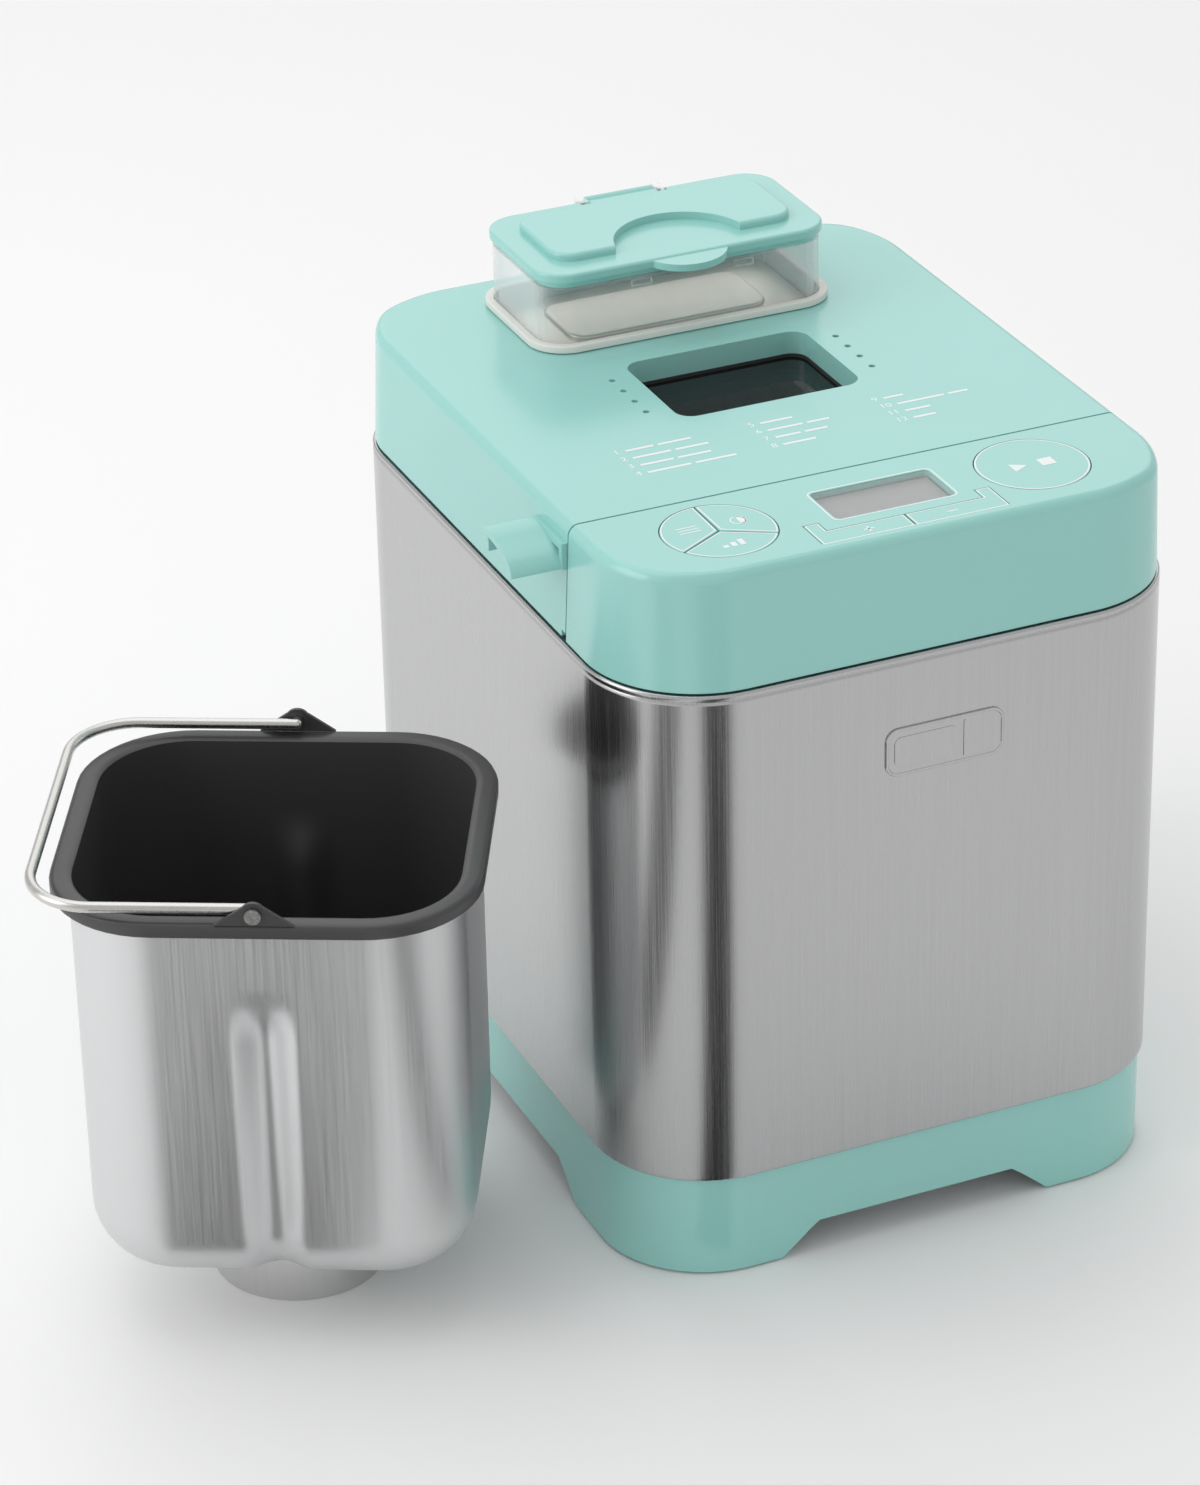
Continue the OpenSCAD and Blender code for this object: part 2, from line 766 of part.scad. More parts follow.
module drive_pulley() {
  color(grey) translate([0, chamber_y, 0]) difference() {
    union() {
      hole(drive_pulley_r, pulley_z, pulley_z + pulley_h);
      hole(11, pulley_z - 3, pulley_z + pulley_h);
    }
    hole(drive_shaft_r + snug, pulley_z - 4, pulley_z + pulley_h + 4);
    for (a = [0:60:300]) rotate(a) translate([(drive_pulley_r + 11) / 2, 0, 0])
      hole((drive_pulley_r - 11) / 4, pulley_z - 1, pulley_z + pulley_h + 1);
  }
}

module drive_shaft() {
  color(steel) translate([0, chamber_y, 0]) hole(drive_shaft_r, pulley_z - 5, seat_z + 3.6);
}

module drive_coupling() {
  color(zinc) translate([0, chamber_y, 0]) difference() {
    union() {
      hole(11, seat_z + 0.4, seat_z + 4);
      for (a = [90, 270]) rotate(a) translate([6.5, -2, seat_z + 4]) cube([4, 4, 5]);
    }
    hole(drive_shaft_r + snug, seat_z, seat_z + 5);
  }
}

// Flat loop that runs clear of both pulleys: two arcs and the two straight runs between them
module drive_belt() {
  gap = 0.5;
  belt_t = 1.8;
  wide = pulley_h - 2;
  v = [motor_x, motor_y - chamber_y];
  dist = norm(v);
  lean = acos((drive_pulley_r - motor_pulley_r) / dist);
  r1 = drive_pulley_r + gap;
  r2 = motor_pulley_r + gap;
  run = dist * sin(lean);
  root = 0.3;
  slim = 0.05;
  color(dark) translate([0, chamber_y, pulley_z + 1]) rotate(atan2(v.y, v.x)) {
    rotate(lean) rotate_extrude(angle = 360 - 2 * lean) translate([r1, 0]) square([belt_t, wide]);
    translate([dist, 0, 0]) rotate(-lean) rotate_extrude(angle = 2 * lean)
      translate([r2, 0]) square([belt_t, wide]);
    for (side = [-1, 1]) rotate(side * lean) translate([r1 + belt_t / 2, -side * run / 2, wide / 2])
      cube([belt_t - 2 * slim, run + 2 * root, wide - 2 * slim], center = true);
  }
}

module power_board() {
  x = chamber_w / 2 + side_space - 9;
  color(board_green) translate([x, 0, chassis_top]) {
    translate([0, -46, 0]) cube([1.6, 84, 92]);
    translate([-9, -36, 56]) cube([9, 22, 26]);
    translate([-11, 0, 20]) cube([11, 24, 24]);
    for (i = [0:2]) translate([0, -38 + 16 * i, 40]) rotate([0, -90, 0]) cylinder(r = 5, h = 10);
  }
}

// Cable from a hole in the chassis, up beside the liner and forward to the control board
module wire_harness() {
  r = 2.5;
  turn = 9;
  y0 = seam_y + 12;
  y1 = seam_y - 22;
  level = wrap_top - 30;
  color(dark) translate([harness_x, 0, 0]) rotate([90, 0, 90]) {
    rod([y0, chassis_top, 0], [y0, level - turn, 0], r);
    bend(y0 - turn, level - turn, turn, r, 0);
    rod([y0 - turn, level, 0], [y1 + turn, level, 0], r);
    bend(y1 + turn, level + turn, turn, r, 180);
    rod([y1, level + turn, 0], [y1, board_z, 0], r);
  }
}

// ---- lid ----

module vent_places() {
  for (side = [-1, 1], i = [0:3])
    translate([window_x + side * 46, window_y + 15.2 - 10.2 * i, 0]) children();
}

// Lifting lip: a plate that turns down at its front and its rear, open on its outer side
module lifting_lip() {
  x0 = -top_w / 2 - lip_reach;
  reach = lip_reach + shell_t;
  translate([x0, 0, 0]) rotate([90, 0, 90]) linear_extrude(reach) difference() {
    translate([seam_y, lip_z - lip_drop]) square([lip_len, lip_drop]);
    translate([seam_y + lip_t, lip_z - lip_drop - 1])
      square([lip_len - 2 * lip_t, lip_drop + 1 - lip_t]);
  }
}

module lid_shell() {
  well_low = lid_top - window_well;
  color(aqua) difference() {
    union() {
      difference() {
        intersection() {
          top_form(0);
          between(seam_y, big / 2);
        }
        intersection() {
          top_form(shell_t);
          between(seam_y + shell_t, big / 2);
        }
        translate([0, 0, wrap_top - 1]) linear_extrude(2) intersection() {
          rrect(top_w - 2 * shell_t, top_d - 2 * shell_t, top_r - shell_t);
          translate([-big / 2, seam_y + shell_t]) square([big, big]);
        }
        between_low();
      }
      translate([window_x, window_y, well_low])
        rtube(window_w + 2 * well_t, window_d + 2 * well_t, window_r + well_t, well_t,
          window_well - 1);
      translate([disp_x, disp_y, lid_top - disp_drop])
        rtube(disp_w + 5, disp_d + 5, disp_r + 2.5, 2, disp_drop - 1);
      lid_knuckles();
      boss_at_lid() hole(3.6, liner_z + thin_t, lid_top - 1);
      difference() {
        lifting_lip();
        translate([-top_w / 2 + shell_t, 0, 0]) cube([big, big, big]);
      }
    }
    translate([window_x, window_y, 0]) linear_extrude(big) rrect(window_w, window_d, window_r);
    translate([disp_x, disp_y, 0]) linear_extrude(big)
      rrect(disp_w + 2 * slack, disp_d + 2 * slack, disp_r + slack);
    vent_places() hole(1.3, lid_top - 6, lid_top + 1);
    boss_at_lid() hole(1.4 + snug, liner_z, liner_z + 14);
  }
}

// Room under the lid: clear of the wrap, of the deck at the front and of the hinge rail
module between_low() {
  translate([-big / 2, seam_y - 1, 0]) cube([big, big, wrap_top + 0.5]);
  translate([-big / 2, seam_y - 1, 0]) cube([big, shell_t + 1.5, deck_top + 0.7]);
  translate([-rear_cut, hinge_y - 8, 0]) cube([2 * rear_cut, big, hinge_z + 5.2]);
}

module lid_knuckles() {
  for (sx = [-1, 1]) translate([sx * hinge_x, hinge_y, hinge_z]) rotate([0, 90, 0]) difference() {
    union() {
      cylinder(r = hinge_r, h = knuckle_l, center = true);
      translate([-14, -hinge_r + 1, -knuckle_l / 2]) cube([14, hinge_r + 2, knuckle_l]);
    }
    cylinder(r = hinge_pin_r + running, h = knuckle_l + 2, center = true);
  }
}

module boss_at_lid() {
  for (sx = [-1, 1], y = [liner_y0 + 8, chamber_y + chamber_d / 4])
    translate([sx * (liner_x - 8), y, 0]) children();
}

module lid_liner() {
  duct_t = 1;
  win_w = window_w - 10;
  win_d = window_d - 10;
  color(steel) difference() {
    union() {
      translate([0, (liner_y0 + liner_y1) / 2, liner_z]) linear_extrude(thin_t)
        rrect(2 * liner_x, liner_y1 - liner_y0, 20);
      translate([window_x, window_y, liner_z])
        rtube(win_w + 2 * duct_t, win_d + 2 * duct_t, 7, duct_t, glass_z - liner_z);
      translate([disp_x, disp_y, liner_z])
        rtube(disp_w + 4, disp_d + 4, disp_r + 2, duct_t, lid_top - disp_drop - liner_z);
    }
    translate([window_x, window_y, 0]) linear_extrude(big) rrect(win_w, win_d, 6);
    translate([disp_x, disp_y, 0]) linear_extrude(big)
      rrect(disp_w + 2, disp_d + 2, disp_r + 1);
    boss_at_lid() hole(1.6, 0, big);
  }
}

module lid_screws() {
  color(zinc) boss_at_lid() translate([0, 0, liner_z]) mirror([0, 0, 1]) screw(1.4, 11, 2.6, 1.4);
}

module window_gasket() {
  color(dark) translate([window_x, window_y, glass_z + glass_t])
    rtube(window_w + 2 * well_t, window_d + 2 * well_t, window_r + well_t, well_t + 0.6, gasket_t);
}

module window_glass() {
  color([0.05, 0.05, 0.06, 0.6]) translate([window_x, window_y, glass_z]) linear_extrude(glass_t)
    rrect(window_w + 2 * well_t, window_d + 2 * well_t, window_r + well_t);
}

module flap_solenoid() {
  color(grey) translate([disp_x - disp_w / 2 - 27, disp_y - 10, liner_z + thin_t]) {
    cube([20, 26, 18]);
    translate([20, 13, 9]) rotate([0, 90, 0]) cylinder(r = 3, h = 2.5);
  }
}

// ---- dispenser ----

module dispenser_box() {
  catch_w = 8;
  color(clear) difference() {
    union() {
      translate([disp_x, disp_y, box_low]) rtube(disp_w, disp_d, disp_r, disp_t, box_top - box_low);
      for (x = [-20, 22]) translate([disp_x + x - catch_w / 2, disp_y - disp_d / 2 - 1.6, box_top - 3])
        cube([catch_w, 2, 2.4]);
      for (sx = [-1, 1]) translate([disp_x + sx * ear_x - 1.5, disp_y + disp_d / 2 - 1, box_top - 6])
        cube([3, 7.6, cover_axis_z + 2.6 - box_top + 6]);
      for (sx = [-1, 1]) translate([disp_x + sx * (disp_w / 2 - 8) - 1.5, flap_axis_y - 3, box_low])
        cube([3, 5.6, 6]);
    }
    translate([disp_x, cover_axis_y, cover_axis_z]) rotate([0, 90, 0])
      cylinder(r = cover_pin_r + snug, h = 50, center = true);
    translate([disp_x, flap_axis_y, flap_axis_z]) rotate([0, 90, 0])
      cylinder(r = flap_pin_r + snug, h = disp_w - 8, center = true);
  }
}

module dispenser_flange() {
  color([0.88, 0.87, 0.84]) translate([disp_x, disp_y, lid_top + 0.3])
    rtube(disp_w + 2 * flange_over, disp_d + 2 * flange_over, disp_r + flange_over, flange_over,
      flange_t);
}

module dispenser_hinge_pin() {
  color(steel) translate([disp_x, cover_axis_y, cover_axis_z]) rotate([0, 90, 0])
    cylinder(r = cover_pin_r, h = 2 * ear_x + 3, center = true);
}

module flap_pin() {
  color(steel) translate([disp_x, flap_axis_y, flap_axis_z]) rotate([0, 90, 0])
    cylinder(r = flap_pin_r, h = disp_w - 10, center = true);
}

module dispenser_cover() {
  over = 1.2;
  notch = 2 * ear_x + 6;
  plateau_in = 9;
  color(aqua) difference() {
    union() {
      translate([disp_x, disp_y, cover_z]) slab(disp_w + 2 * over, disp_d + 2 * over,
        disp_r + over, cover_t, 1.2);
      translate([disp_x, disp_y, box_top + slack]) linear_extrude(cover_z - box_top - slack)
        rrect(disp_w - 2, disp_d - 2, disp_r - 1);
      translate([disp_x, disp_y + 1, cover_z + 1]) difference() {
        slab(disp_w - 2 * plateau_in, disp_d - 2 * plateau_in, 9, cover_t + 2, 1.5);
        translate([0, tab_y - disp_y - 1, -1]) cylinder(r = tab_r + 9, h = 20);
      }
      translate([disp_x, tab_y, cover_z]) cylinder(r = tab_r, h = cover_t - 0.6);
      translate([disp_x, cover_axis_y, cover_axis_z]) rotate([0, 90, 0])
        cylinder(r = 2.4, h = 2 * ear_x - 4, center = true);
      translate([disp_x - ear_x + 2, cover_axis_y - 5, cover_axis_z - 1])
        cube([2 * ear_x - 4, 5, 2.6]);
    }
    for (sx = [-1, 1]) translate([disp_x + sx * ear_x - 2, cover_axis_y - 6.2, box_top - 1])
      cube([4, 20, 20]);
    translate([disp_x - notch / 2, cover_axis_y + 2.6, box_top - 1]) cube([notch, 20, 20]);
    translate([disp_x, cover_axis_y, cover_axis_z]) rotate([0, 90, 0])
      cylinder(r = cover_pin_r + running, h = 50, center = true);
  }
}

module trap_flap() {
  side = 0.5;
  flap_w = disp_w - 2 * disp_t - 2 * side;
  flap_y1 = disp_y + disp_d / 2 - disp_t - side;
  flap_r = disp_r - disp_t - side;
  color([0.66, 0.64, 0.58]) difference() {
    union() {
      translate([disp_x, disp_y, flap_axis_z - flap_t / 2]) linear_extrude(flap_t) intersection() {
        rrect(flap_w, 2 * (flap_y1 - disp_y), flap_r);
        translate([-big / 2, flap_axis_y - disp_y]) square([big, big]);
      }
      translate([disp_x, flap_axis_y, flap_axis_z]) rotate([0, 90, 0])
        cylinder(r = flap_barrel_r, h = flap_w - 16, center = true);
      translate([disp_x, disp_y + 2, flap_axis_z]) slab(flap_w - 30, disp_d - 26, 8, 2, 1.2);
    }
    for (sx = [-1, 1]) translate([disp_x + sx * (disp_w / 2 - 8 + big / 2 - 2.2), flap_axis_y, 0])
      cube([big, 7.8, big], center = true);
    translate([disp_x, flap_axis_y, flap_axis_z]) rotate([0, 90, 0])
      cylinder(r = flap_pin_r + running, h = disp_w, center = true);
  }
}

// ---- bread pan, drawn in its own frame and then stood on the counter ----

module stand_pan() {
  translate([pan_x, pan_y, 0]) rotate(pan_turn) children();
}

module pan_solid(t) {
  depth = pan_h - rim_t - collar_h;
  translate([0, 0, pan_h - rim_t + (t > 0 ? 1 : 0)]) mirror([0, 0, 1])
    slab(pan_w - 2 * t, pan_d - 2 * t, pan_r - t, depth - t + (t > 0 ? 1 : 0), pan_edge_r - t);
}

module pan_shell() {
  rib_top = pan_h - 26;
  color(steel) stand_pan() difference() {
    union() {
      difference() {
        pan_solid(0);
        difference() {
          pan_solid(pan_t);
          for (s = [-1, 1]) translate([0, s * (pan_d / 2 + rib_r - rib_in), 0])
            hole(rib_r + pan_t, 0, rib_top + pan_t);
        }
      }
      translate([0, 0, pan_h - rim_t]) linear_extrude(rim_t) rrect(pan_rim_w, pan_rim_d, pan_rim_r);
      translate([0, 0, pan_h - 5]) rtube(pan_rim_w, pan_rim_d, pan_rim_r, 1.2, 5);
    }
    translate([0, 0, pan_h - rim_t - 1]) linear_extrude(rim_t + 2)
      rrect(pan_w - 2 * pan_t, pan_d - 2 * pan_t, pan_r - pan_t);
    for (s = [-1, 1]) translate([0, s * (pan_d / 2 + rib_r - rib_in), 0]) hole(rib_r, 0, rib_top);
    hole(bush_r + snug, collar_h - 1, pan_floor + 1);
  }
}

module pan_lugs() {
  color(dark) stand_pan() for (s = [-1, 1]) translate([0, s * (pan_rim_d / 2 - lug_t / 2), 0])
    rotate([90, 0, 0]) translate([0, 0, -lug_t / 2]) linear_extrude(lug_t) difference() {
      union() {
        polygon([[-14, pan_h], [14, pan_h], [4, bail_z + 2.6], [-4, bail_z + 2.6]]);
        translate([0, bail_z]) circle(4.6);
      }
      translate([0, bail_z]) circle(bail_r + running);
      translate([-10, pan_h - 10]) square([20, 10]);
    }
}

module pan_collar() {
  color(steel) stand_pan() {
    difference() {
      hole(collar_r, 0, collar_h);
      hole(collar_r - 1.5, -1, collar_h - 1.5);
      hole(bush_r + snug, 0, collar_h + 1);
      for (a = [0:90:270]) rotate(a) translate([collar_r / 2 + 6, 0, 0])
        hole(4, 0, collar_h + 1);
    }
  }
}

module pan_bush() {
  color(brass) stand_pan() difference() {
    union() {
      hole(bush_r, collar_h - 5, pan_floor + 4);
      hole(bush_r + 3, pan_floor, pan_floor + 1.5);
    }
    hole(pan_shaft_r + running, 0, 60);
  }
}

module pan_shaft() {
  color(steel) stand_pan() difference() {
    hole(pan_shaft_r, 6.5, pan_floor + 24);
    translate([pan_shaft_r - 0.8, -10, pan_floor + 4.5]) cube([10, 20, 40]);
  }
}

module wing_coupling() {
  color(zinc) stand_pan() difference() {
    union() {
      hole(5.8, 5, 13);
      translate([-11, -2, 5]) cube([22, 4, 5]);
    }
    hole(pan_shaft_r + snug, 6.4, 20);
  }
}

module kneading_paddle() {
  z0 = pan_floor + 5;
  color(dark) stand_pan() difference() {
    union() {
      hole(9, z0, z0 + 17);
      translate([0, 0, z0]) intersection() {
        rotate([90, 0, 0]) linear_extrude(4, center = true)
          polygon([[0, 0], [46, 0], [44, 14], [30, 24], [0, 20]]);
        cylinder(r = 46, h = 40);
      }
    }
    difference() {
      hole(pan_shaft_r + snug, 0, z0 + 19);
      translate([pan_shaft_r - 0.7, -10, 0]) cube([10, 20, 100]);
    }
  }
}

module pan_handle() {
  x1 = -bail_reach;
  b = bail_bend;
  color(steel) stand_pan() translate([0, 0, bail_z]) {
    for (s = [-1, 1]) {
      rod([0, s * bail_y, 0], [x1 + b, s * bail_y, 0], bail_r);
      translate([0, s * bail_y, 0]) sphere(bail_r);
      rod([0, s * bail_y, 0], [0, s * (pan_rim_d / 2 + 0.6), 0], bail_r);
      translate([0, s * (pan_rim_d / 2 + 0.4), 0]) rotate([-90 * s, 0, 0]) cylinder(r = 2.9, h = 1.4);
    }
    bend(x1 + b, bail_y - b, b, bail_r, 90);
    bend(x1 + b, b - bail_y, b, bail_r, 180);
    rod([x1, b - bail_y, 0], [x1, bail_y - b, 0], bail_r);
  }
}

// Everything above is drawn about the middle of the machine, and stands here about its front left foot
translate([body_w / 2 - foot_in, body_d / 2 - foot_in, 0]) {
  base_shell();
  bottom_plate();
  rubber_feet();
  steel_wrap();
  front_plaque();
  chassis_plate();
  frame_posts();
  top_housing();
  display_lens();
  display_module();
  control_board();
  chamber_liner();
  pan_seat();
  drive_bush();
  heating_element();
  element_clips();
  temperature_sensor();
  thermal_fuse();
  heat_shield();
  motor();
  motor_bracket();
  motor_capacitor();
  power_board();
  wire_harness();
  drive_belt();
  cord_gland();
  hinge_pins();
  chassis_screws();
  housing_screws();
  motor_screws();
  lid_shell();
  lid_liner();
  window_glass();
  window_gasket();
  flap_solenoid();
  lid_screws();
  dispenser_box();
  dispenser_flange();
  dispenser_hinge_pin();
  flap_pin();
  dispenser_cover();
  trap_flap();
  drive_shaft();
  drive_pulley();
  drive_coupling();
  motor_pulley();
  key_menu();
  key_crust();
  key_size();
  key_plus();
  key_minus();
  key_start();
  pan_shell();
  pan_lugs();
  pan_collar();
  pan_bush();
  pan_handle();
  pan_shaft();
  wing_coupling();
  kneading_paddle();
}
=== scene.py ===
import json
import math

import bmesh
import bpy
from mathutils import Matrix, Vector


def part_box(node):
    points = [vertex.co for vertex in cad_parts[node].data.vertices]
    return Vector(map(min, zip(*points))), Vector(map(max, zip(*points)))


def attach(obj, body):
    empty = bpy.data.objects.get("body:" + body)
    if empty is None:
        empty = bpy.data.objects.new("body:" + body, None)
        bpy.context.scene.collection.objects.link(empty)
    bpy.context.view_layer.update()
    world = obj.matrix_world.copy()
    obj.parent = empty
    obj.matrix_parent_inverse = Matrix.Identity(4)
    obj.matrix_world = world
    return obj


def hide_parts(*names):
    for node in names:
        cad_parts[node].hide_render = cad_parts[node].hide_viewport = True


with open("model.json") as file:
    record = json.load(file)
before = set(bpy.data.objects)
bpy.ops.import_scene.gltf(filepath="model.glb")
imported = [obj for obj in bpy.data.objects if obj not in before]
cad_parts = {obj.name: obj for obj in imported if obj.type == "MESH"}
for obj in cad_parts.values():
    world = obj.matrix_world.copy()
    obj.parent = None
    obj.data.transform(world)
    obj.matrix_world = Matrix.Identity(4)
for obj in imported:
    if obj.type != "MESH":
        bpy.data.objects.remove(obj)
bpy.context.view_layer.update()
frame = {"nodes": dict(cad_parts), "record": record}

# MM turns millimetres into the scene's metres and WELD merges the doubles of a CAD mesh. The edges
# of a moulding sharper than hard_angle are rounded by soft_edge, or by fine_edge on small pieces.
MM = 0.001
WELD = 1e-6
soft_edge, fine_edge, hard_angle = 0.0006, 0.0003, math.radians(40)
body_low, body_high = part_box("steel_wrap")
mid_x, mid_y = (body_low.x + body_high.x) / 2 / MM, (body_low.y + body_high.y) / 2 / MM
shift = Vector((mid_x * MM, mid_y * MM, 0))

# ---- Counter, light and camera ----
# The machine stands on a plain pale counter under a soft overhead source, with a window-like
# source on its left and a panel behind that gives the lid its sheen. Two cards on the counter
# in front are seen only in the metal.
counter_mesh = bpy.data.meshes.new("counter")
counter_mesh.from_pydata([(-9, -9, 0), (9, -9, 0), (9, 9, 0), (-9, 9, 0)], [], [(0, 1, 2, 3)])
counter = bpy.data.objects.new("counter", counter_mesh)
bpy.context.scene.collection.objects.link(counter)

pale = bpy.data.materials.new("pale_counter")
pale.use_nodes = True
tree = pale.node_tree
shader = tree.nodes["Principled BSDF"]
shader.inputs["Roughness"].default_value = 0.7
shader.inputs["Specular IOR Level"].default_value = 0.2
place = tree.nodes.new("ShaderNodeTexCoord")
cloud = tree.nodes.new("ShaderNodeTexNoise")
cloud.inputs["Scale"].default_value = 1.5
tint = tree.nodes.new("ShaderNodeValToRGB")
tint.color_ramp.elements[0].color = (0.95, 0.95, 0.95, 1)
tint.color_ramp.elements[1].color = (0.97, 0.97, 0.97, 1)
tree.links.new(place.outputs["Object"], cloud.inputs["Vector"])
tree.links.new(cloud.outputs["Fac"], tint.inputs["Fac"])
tree.links.new(tint.outputs["Color"], shader.inputs["Base Color"])
counter_mesh.materials.append(pale)


def soft_light(name, at, towards, width, height, power):
    lamp = bpy.data.lights.new(name, "AREA")
    lamp.shape, lamp.size, lamp.size_y, lamp.energy = "RECTANGLE", width, height, power
    holder = bpy.data.objects.new(name, lamp)
    holder.location = Vector(at) + shift
    holder.rotation_mode = "QUATERNION"
    holder.rotation_quaternion = (Vector(towards) - Vector(at)).to_track_quat("-Z", "Y")
    bpy.context.scene.collection.objects.link(holder)
    return holder


soft_light("overhead", (-0.2, 0.5, 1.9), (0, 0, 0.2), 1.8, 1.8, 9)
soft_light("left_window", (-1.9, 0.2, 1.0), (0, 0, 0.15), 1.2, 1.6, 12)
soft_light("rear_panel", (1.1, 3.0, 1.9), (0, 0, 0.25), 3.2, 1.6, 12).visible_camera = False

world = bpy.data.worlds.new("room")
world.use_nodes = True
world.node_tree.nodes["Background"].inputs["Color"].default_value = (1, 1, 1, 1)
world.node_tree.nodes["Background"].inputs["Strength"].default_value = 0.66
bpy.context.scene.world = world
bpy.context.scene.view_settings.view_transform = "Standard"

for name, shade, corners in (
        ("dark_card", 0.01, ((-0.1, -0.15), (-0.076, -0.15), (0.0, -0.9), (-0.36, -0.9))),
        ("grey_card", 0.16, ((-0.295, -0.110), (-0.237, -0.150), (-0.450, -0.622),
                             (-0.663, -0.474)))):
    card_mesh = bpy.data.meshes.new(name)
    card_mesh.from_pydata([Vector((x, y, 0.002)) + shift for x, y in corners], [], [(0, 1, 2, 3)])
    card = bpy.data.objects.new(name, card_mesh)
    bpy.context.scene.collection.objects.link(card)
    card.visible_camera = card.visible_diffuse = card.visible_shadow = False
    card.visible_transmission = False
    paper = bpy.data.materials.new(name)
    paper.use_nodes = True
    shader = paper.node_tree.nodes["Principled BSDF"]
    shader.inputs["Base Color"].default_value = (shade, shade, shade, 1)
    shader.inputs["Roughness"].default_value = 0.9
    card_mesh.materials.append(paper)

lens = bpy.data.cameras.new("camera")
lens.lens, lens.sensor_width = 123.2, 36
lens.clip_start, lens.clip_end = 0.05, 50
camera = bpy.data.objects.new("camera", lens)
camera_at, aim, camera_roll = (-0.7288, -1.5497, 1.0620), (-0.03445, 0.07129, 0.11082), -1.261
camera.location = Vector(camera_at) + shift
look = Vector(aim) + shift - camera.location
roll = Matrix.Rotation(math.radians(camera_roll), 4, "Z").to_quaternion()
camera.rotation_mode = "QUATERNION"
camera.rotation_quaternion = look.to_track_quat("-Z", "Y") @ roll
bpy.context.scene.collection.objects.link(camera)
bpy.context.scene.camera = camera

# ---- Moulded base, its bottom plate and rubber feet ----
# One injection moulding in aqua plastic with a hand arch on each side, closed below by a zinc
# coated steel plate and standing on four rubber pads. Its edges leave the tool slightly rounded.


def finish_mesh(name, bm, material, body, nodes=(), smooth=35):
    """A plain mesh object from bm, with its shading split at sharp edges, riding on its body."""
    mesh = bpy.data.meshes.new(name)
    bm.to_mesh(mesh)
    bm.free()
    mesh.polygons.foreach_set("use_smooth", [True] * len(mesh.polygons))
    mesh.set_sharp_from_angle(angle=math.radians(smooth))
    mesh.materials.clear()
    mesh.materials.append(material)
    piece = bpy.data.objects.new(name, mesh)
    bpy.context.scene.collection.objects.link(piece)
    even = piece.modifiers.new("even", "WEIGHTED_NORMAL")
    even.keep_sharp = True
    graph = bpy.context.evaluated_depsgraph_get()
    shaded = bpy.data.meshes.new_from_object(piece.evaluated_get(graph))
    piece.modifiers.clear()
    piece.data = shaded
    bpy.data.meshes.remove(mesh)
    shaded.name = name
    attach(piece, body)
    if nodes:
        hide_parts(*nodes)
    return piece


def settled(bm, *stages):
    """bm after the given modifiers, as a new bmesh. A stage is a modifier type and its settings."""
    mesh = bpy.data.meshes.new("blank")
    bm.to_mesh(mesh)
    bm.free()
    blank = bpy.data.objects.new("blank", mesh)
    bpy.context.scene.collection.objects.link(blank)
    for kind, settings in stages:
        stage = blank.modifiers.new(kind, kind)
        for key, value in settings.items():
            setattr(stage, key, value)
    graph = bpy.context.evaluated_depsgraph_get()
    done = bpy.data.meshes.new_from_object(blank.evaluated_get(graph))
    result = bmesh.new()
    result.from_mesh(done)
    bpy.data.objects.remove(blank)
    bpy.data.meshes.remove(mesh)
    bpy.data.meshes.remove(done)
    return result


def moulding(node, radius, draw=None):
    """A merged copy of a CAD node with its hard edges rounded; draw moves each point first."""
    bm = bmesh.new()
    bm.from_mesh(frame["nodes"][node].data)
    bmesh.ops.remove_doubles(bm, verts=bm.verts, dist=WELD)
    bmesh.ops.dissolve_limit(bm, angle_limit=math.radians(1), verts=bm.verts, edges=bm.edges)
    if draw:
        for v in bm.verts:
            v.co = draw(v.co)
    return settled(bm, ("BEVEL", dict(width=radius, segments=2, limit_method="ANGLE",
                                      angle_limit=hard_angle, use_clamp_overlap=True)))


def plastic(name, colour, rough, grain=0.02, flow=0.03):
    """Moulded plastic: colour drifts slightly with the flow of the melt, over a fine eggshell."""
    m = bpy.data.materials.new(name)
    m.use_nodes = True
    t = m.node_tree
    s = t.nodes["Principled BSDF"]
    where = t.nodes.new("ShaderNodeTexCoord")
    drift = t.nodes.new("ShaderNodeTexNoise")
    drift.inputs["Scale"].default_value = 9
    ramp = t.nodes.new("ShaderNodeValToRGB")
    ramp.color_ramp.elements[0].color = (*[c * (1 - flow) for c in colour], 1)
    ramp.color_ramp.elements[1].color = (*[min(1, c * (1 + flow)) for c in colour], 1)
    fine = t.nodes.new("ShaderNodeTexNoise")
    fine.inputs["Scale"].default_value = 900
    fine.inputs["Detail"].default_value = 3
    spread = t.nodes.new("ShaderNodeMapRange")
    spread.inputs["To Min"].default_value = rough * 0.85
    spread.inputs["To Max"].default_value = rough * 1.15
    bump = t.nodes.new("ShaderNodeBump")
    bump.inputs["Strength"].default_value = grain
    bump.inputs["Distance"].default_value = 0.0004
    t.links.new(where.outputs["Object"], drift.inputs["Vector"])
    t.links.new(where.outputs["Object"], fine.inputs["Vector"])
    t.links.new(drift.outputs["Fac"], ramp.inputs["Fac"])
    t.links.new(ramp.outputs["Color"], s.inputs["Base Color"])
    t.links.new(fine.outputs["Fac"], spread.inputs["Value"])
    t.links.new(spread.outputs["Result"], s.inputs["Roughness"])
    t.links.new(fine.outputs["Fac"], bump.inputs["Height"])
    t.links.new(bump.outputs["Normal"], s.inputs["Normal"])
    return m


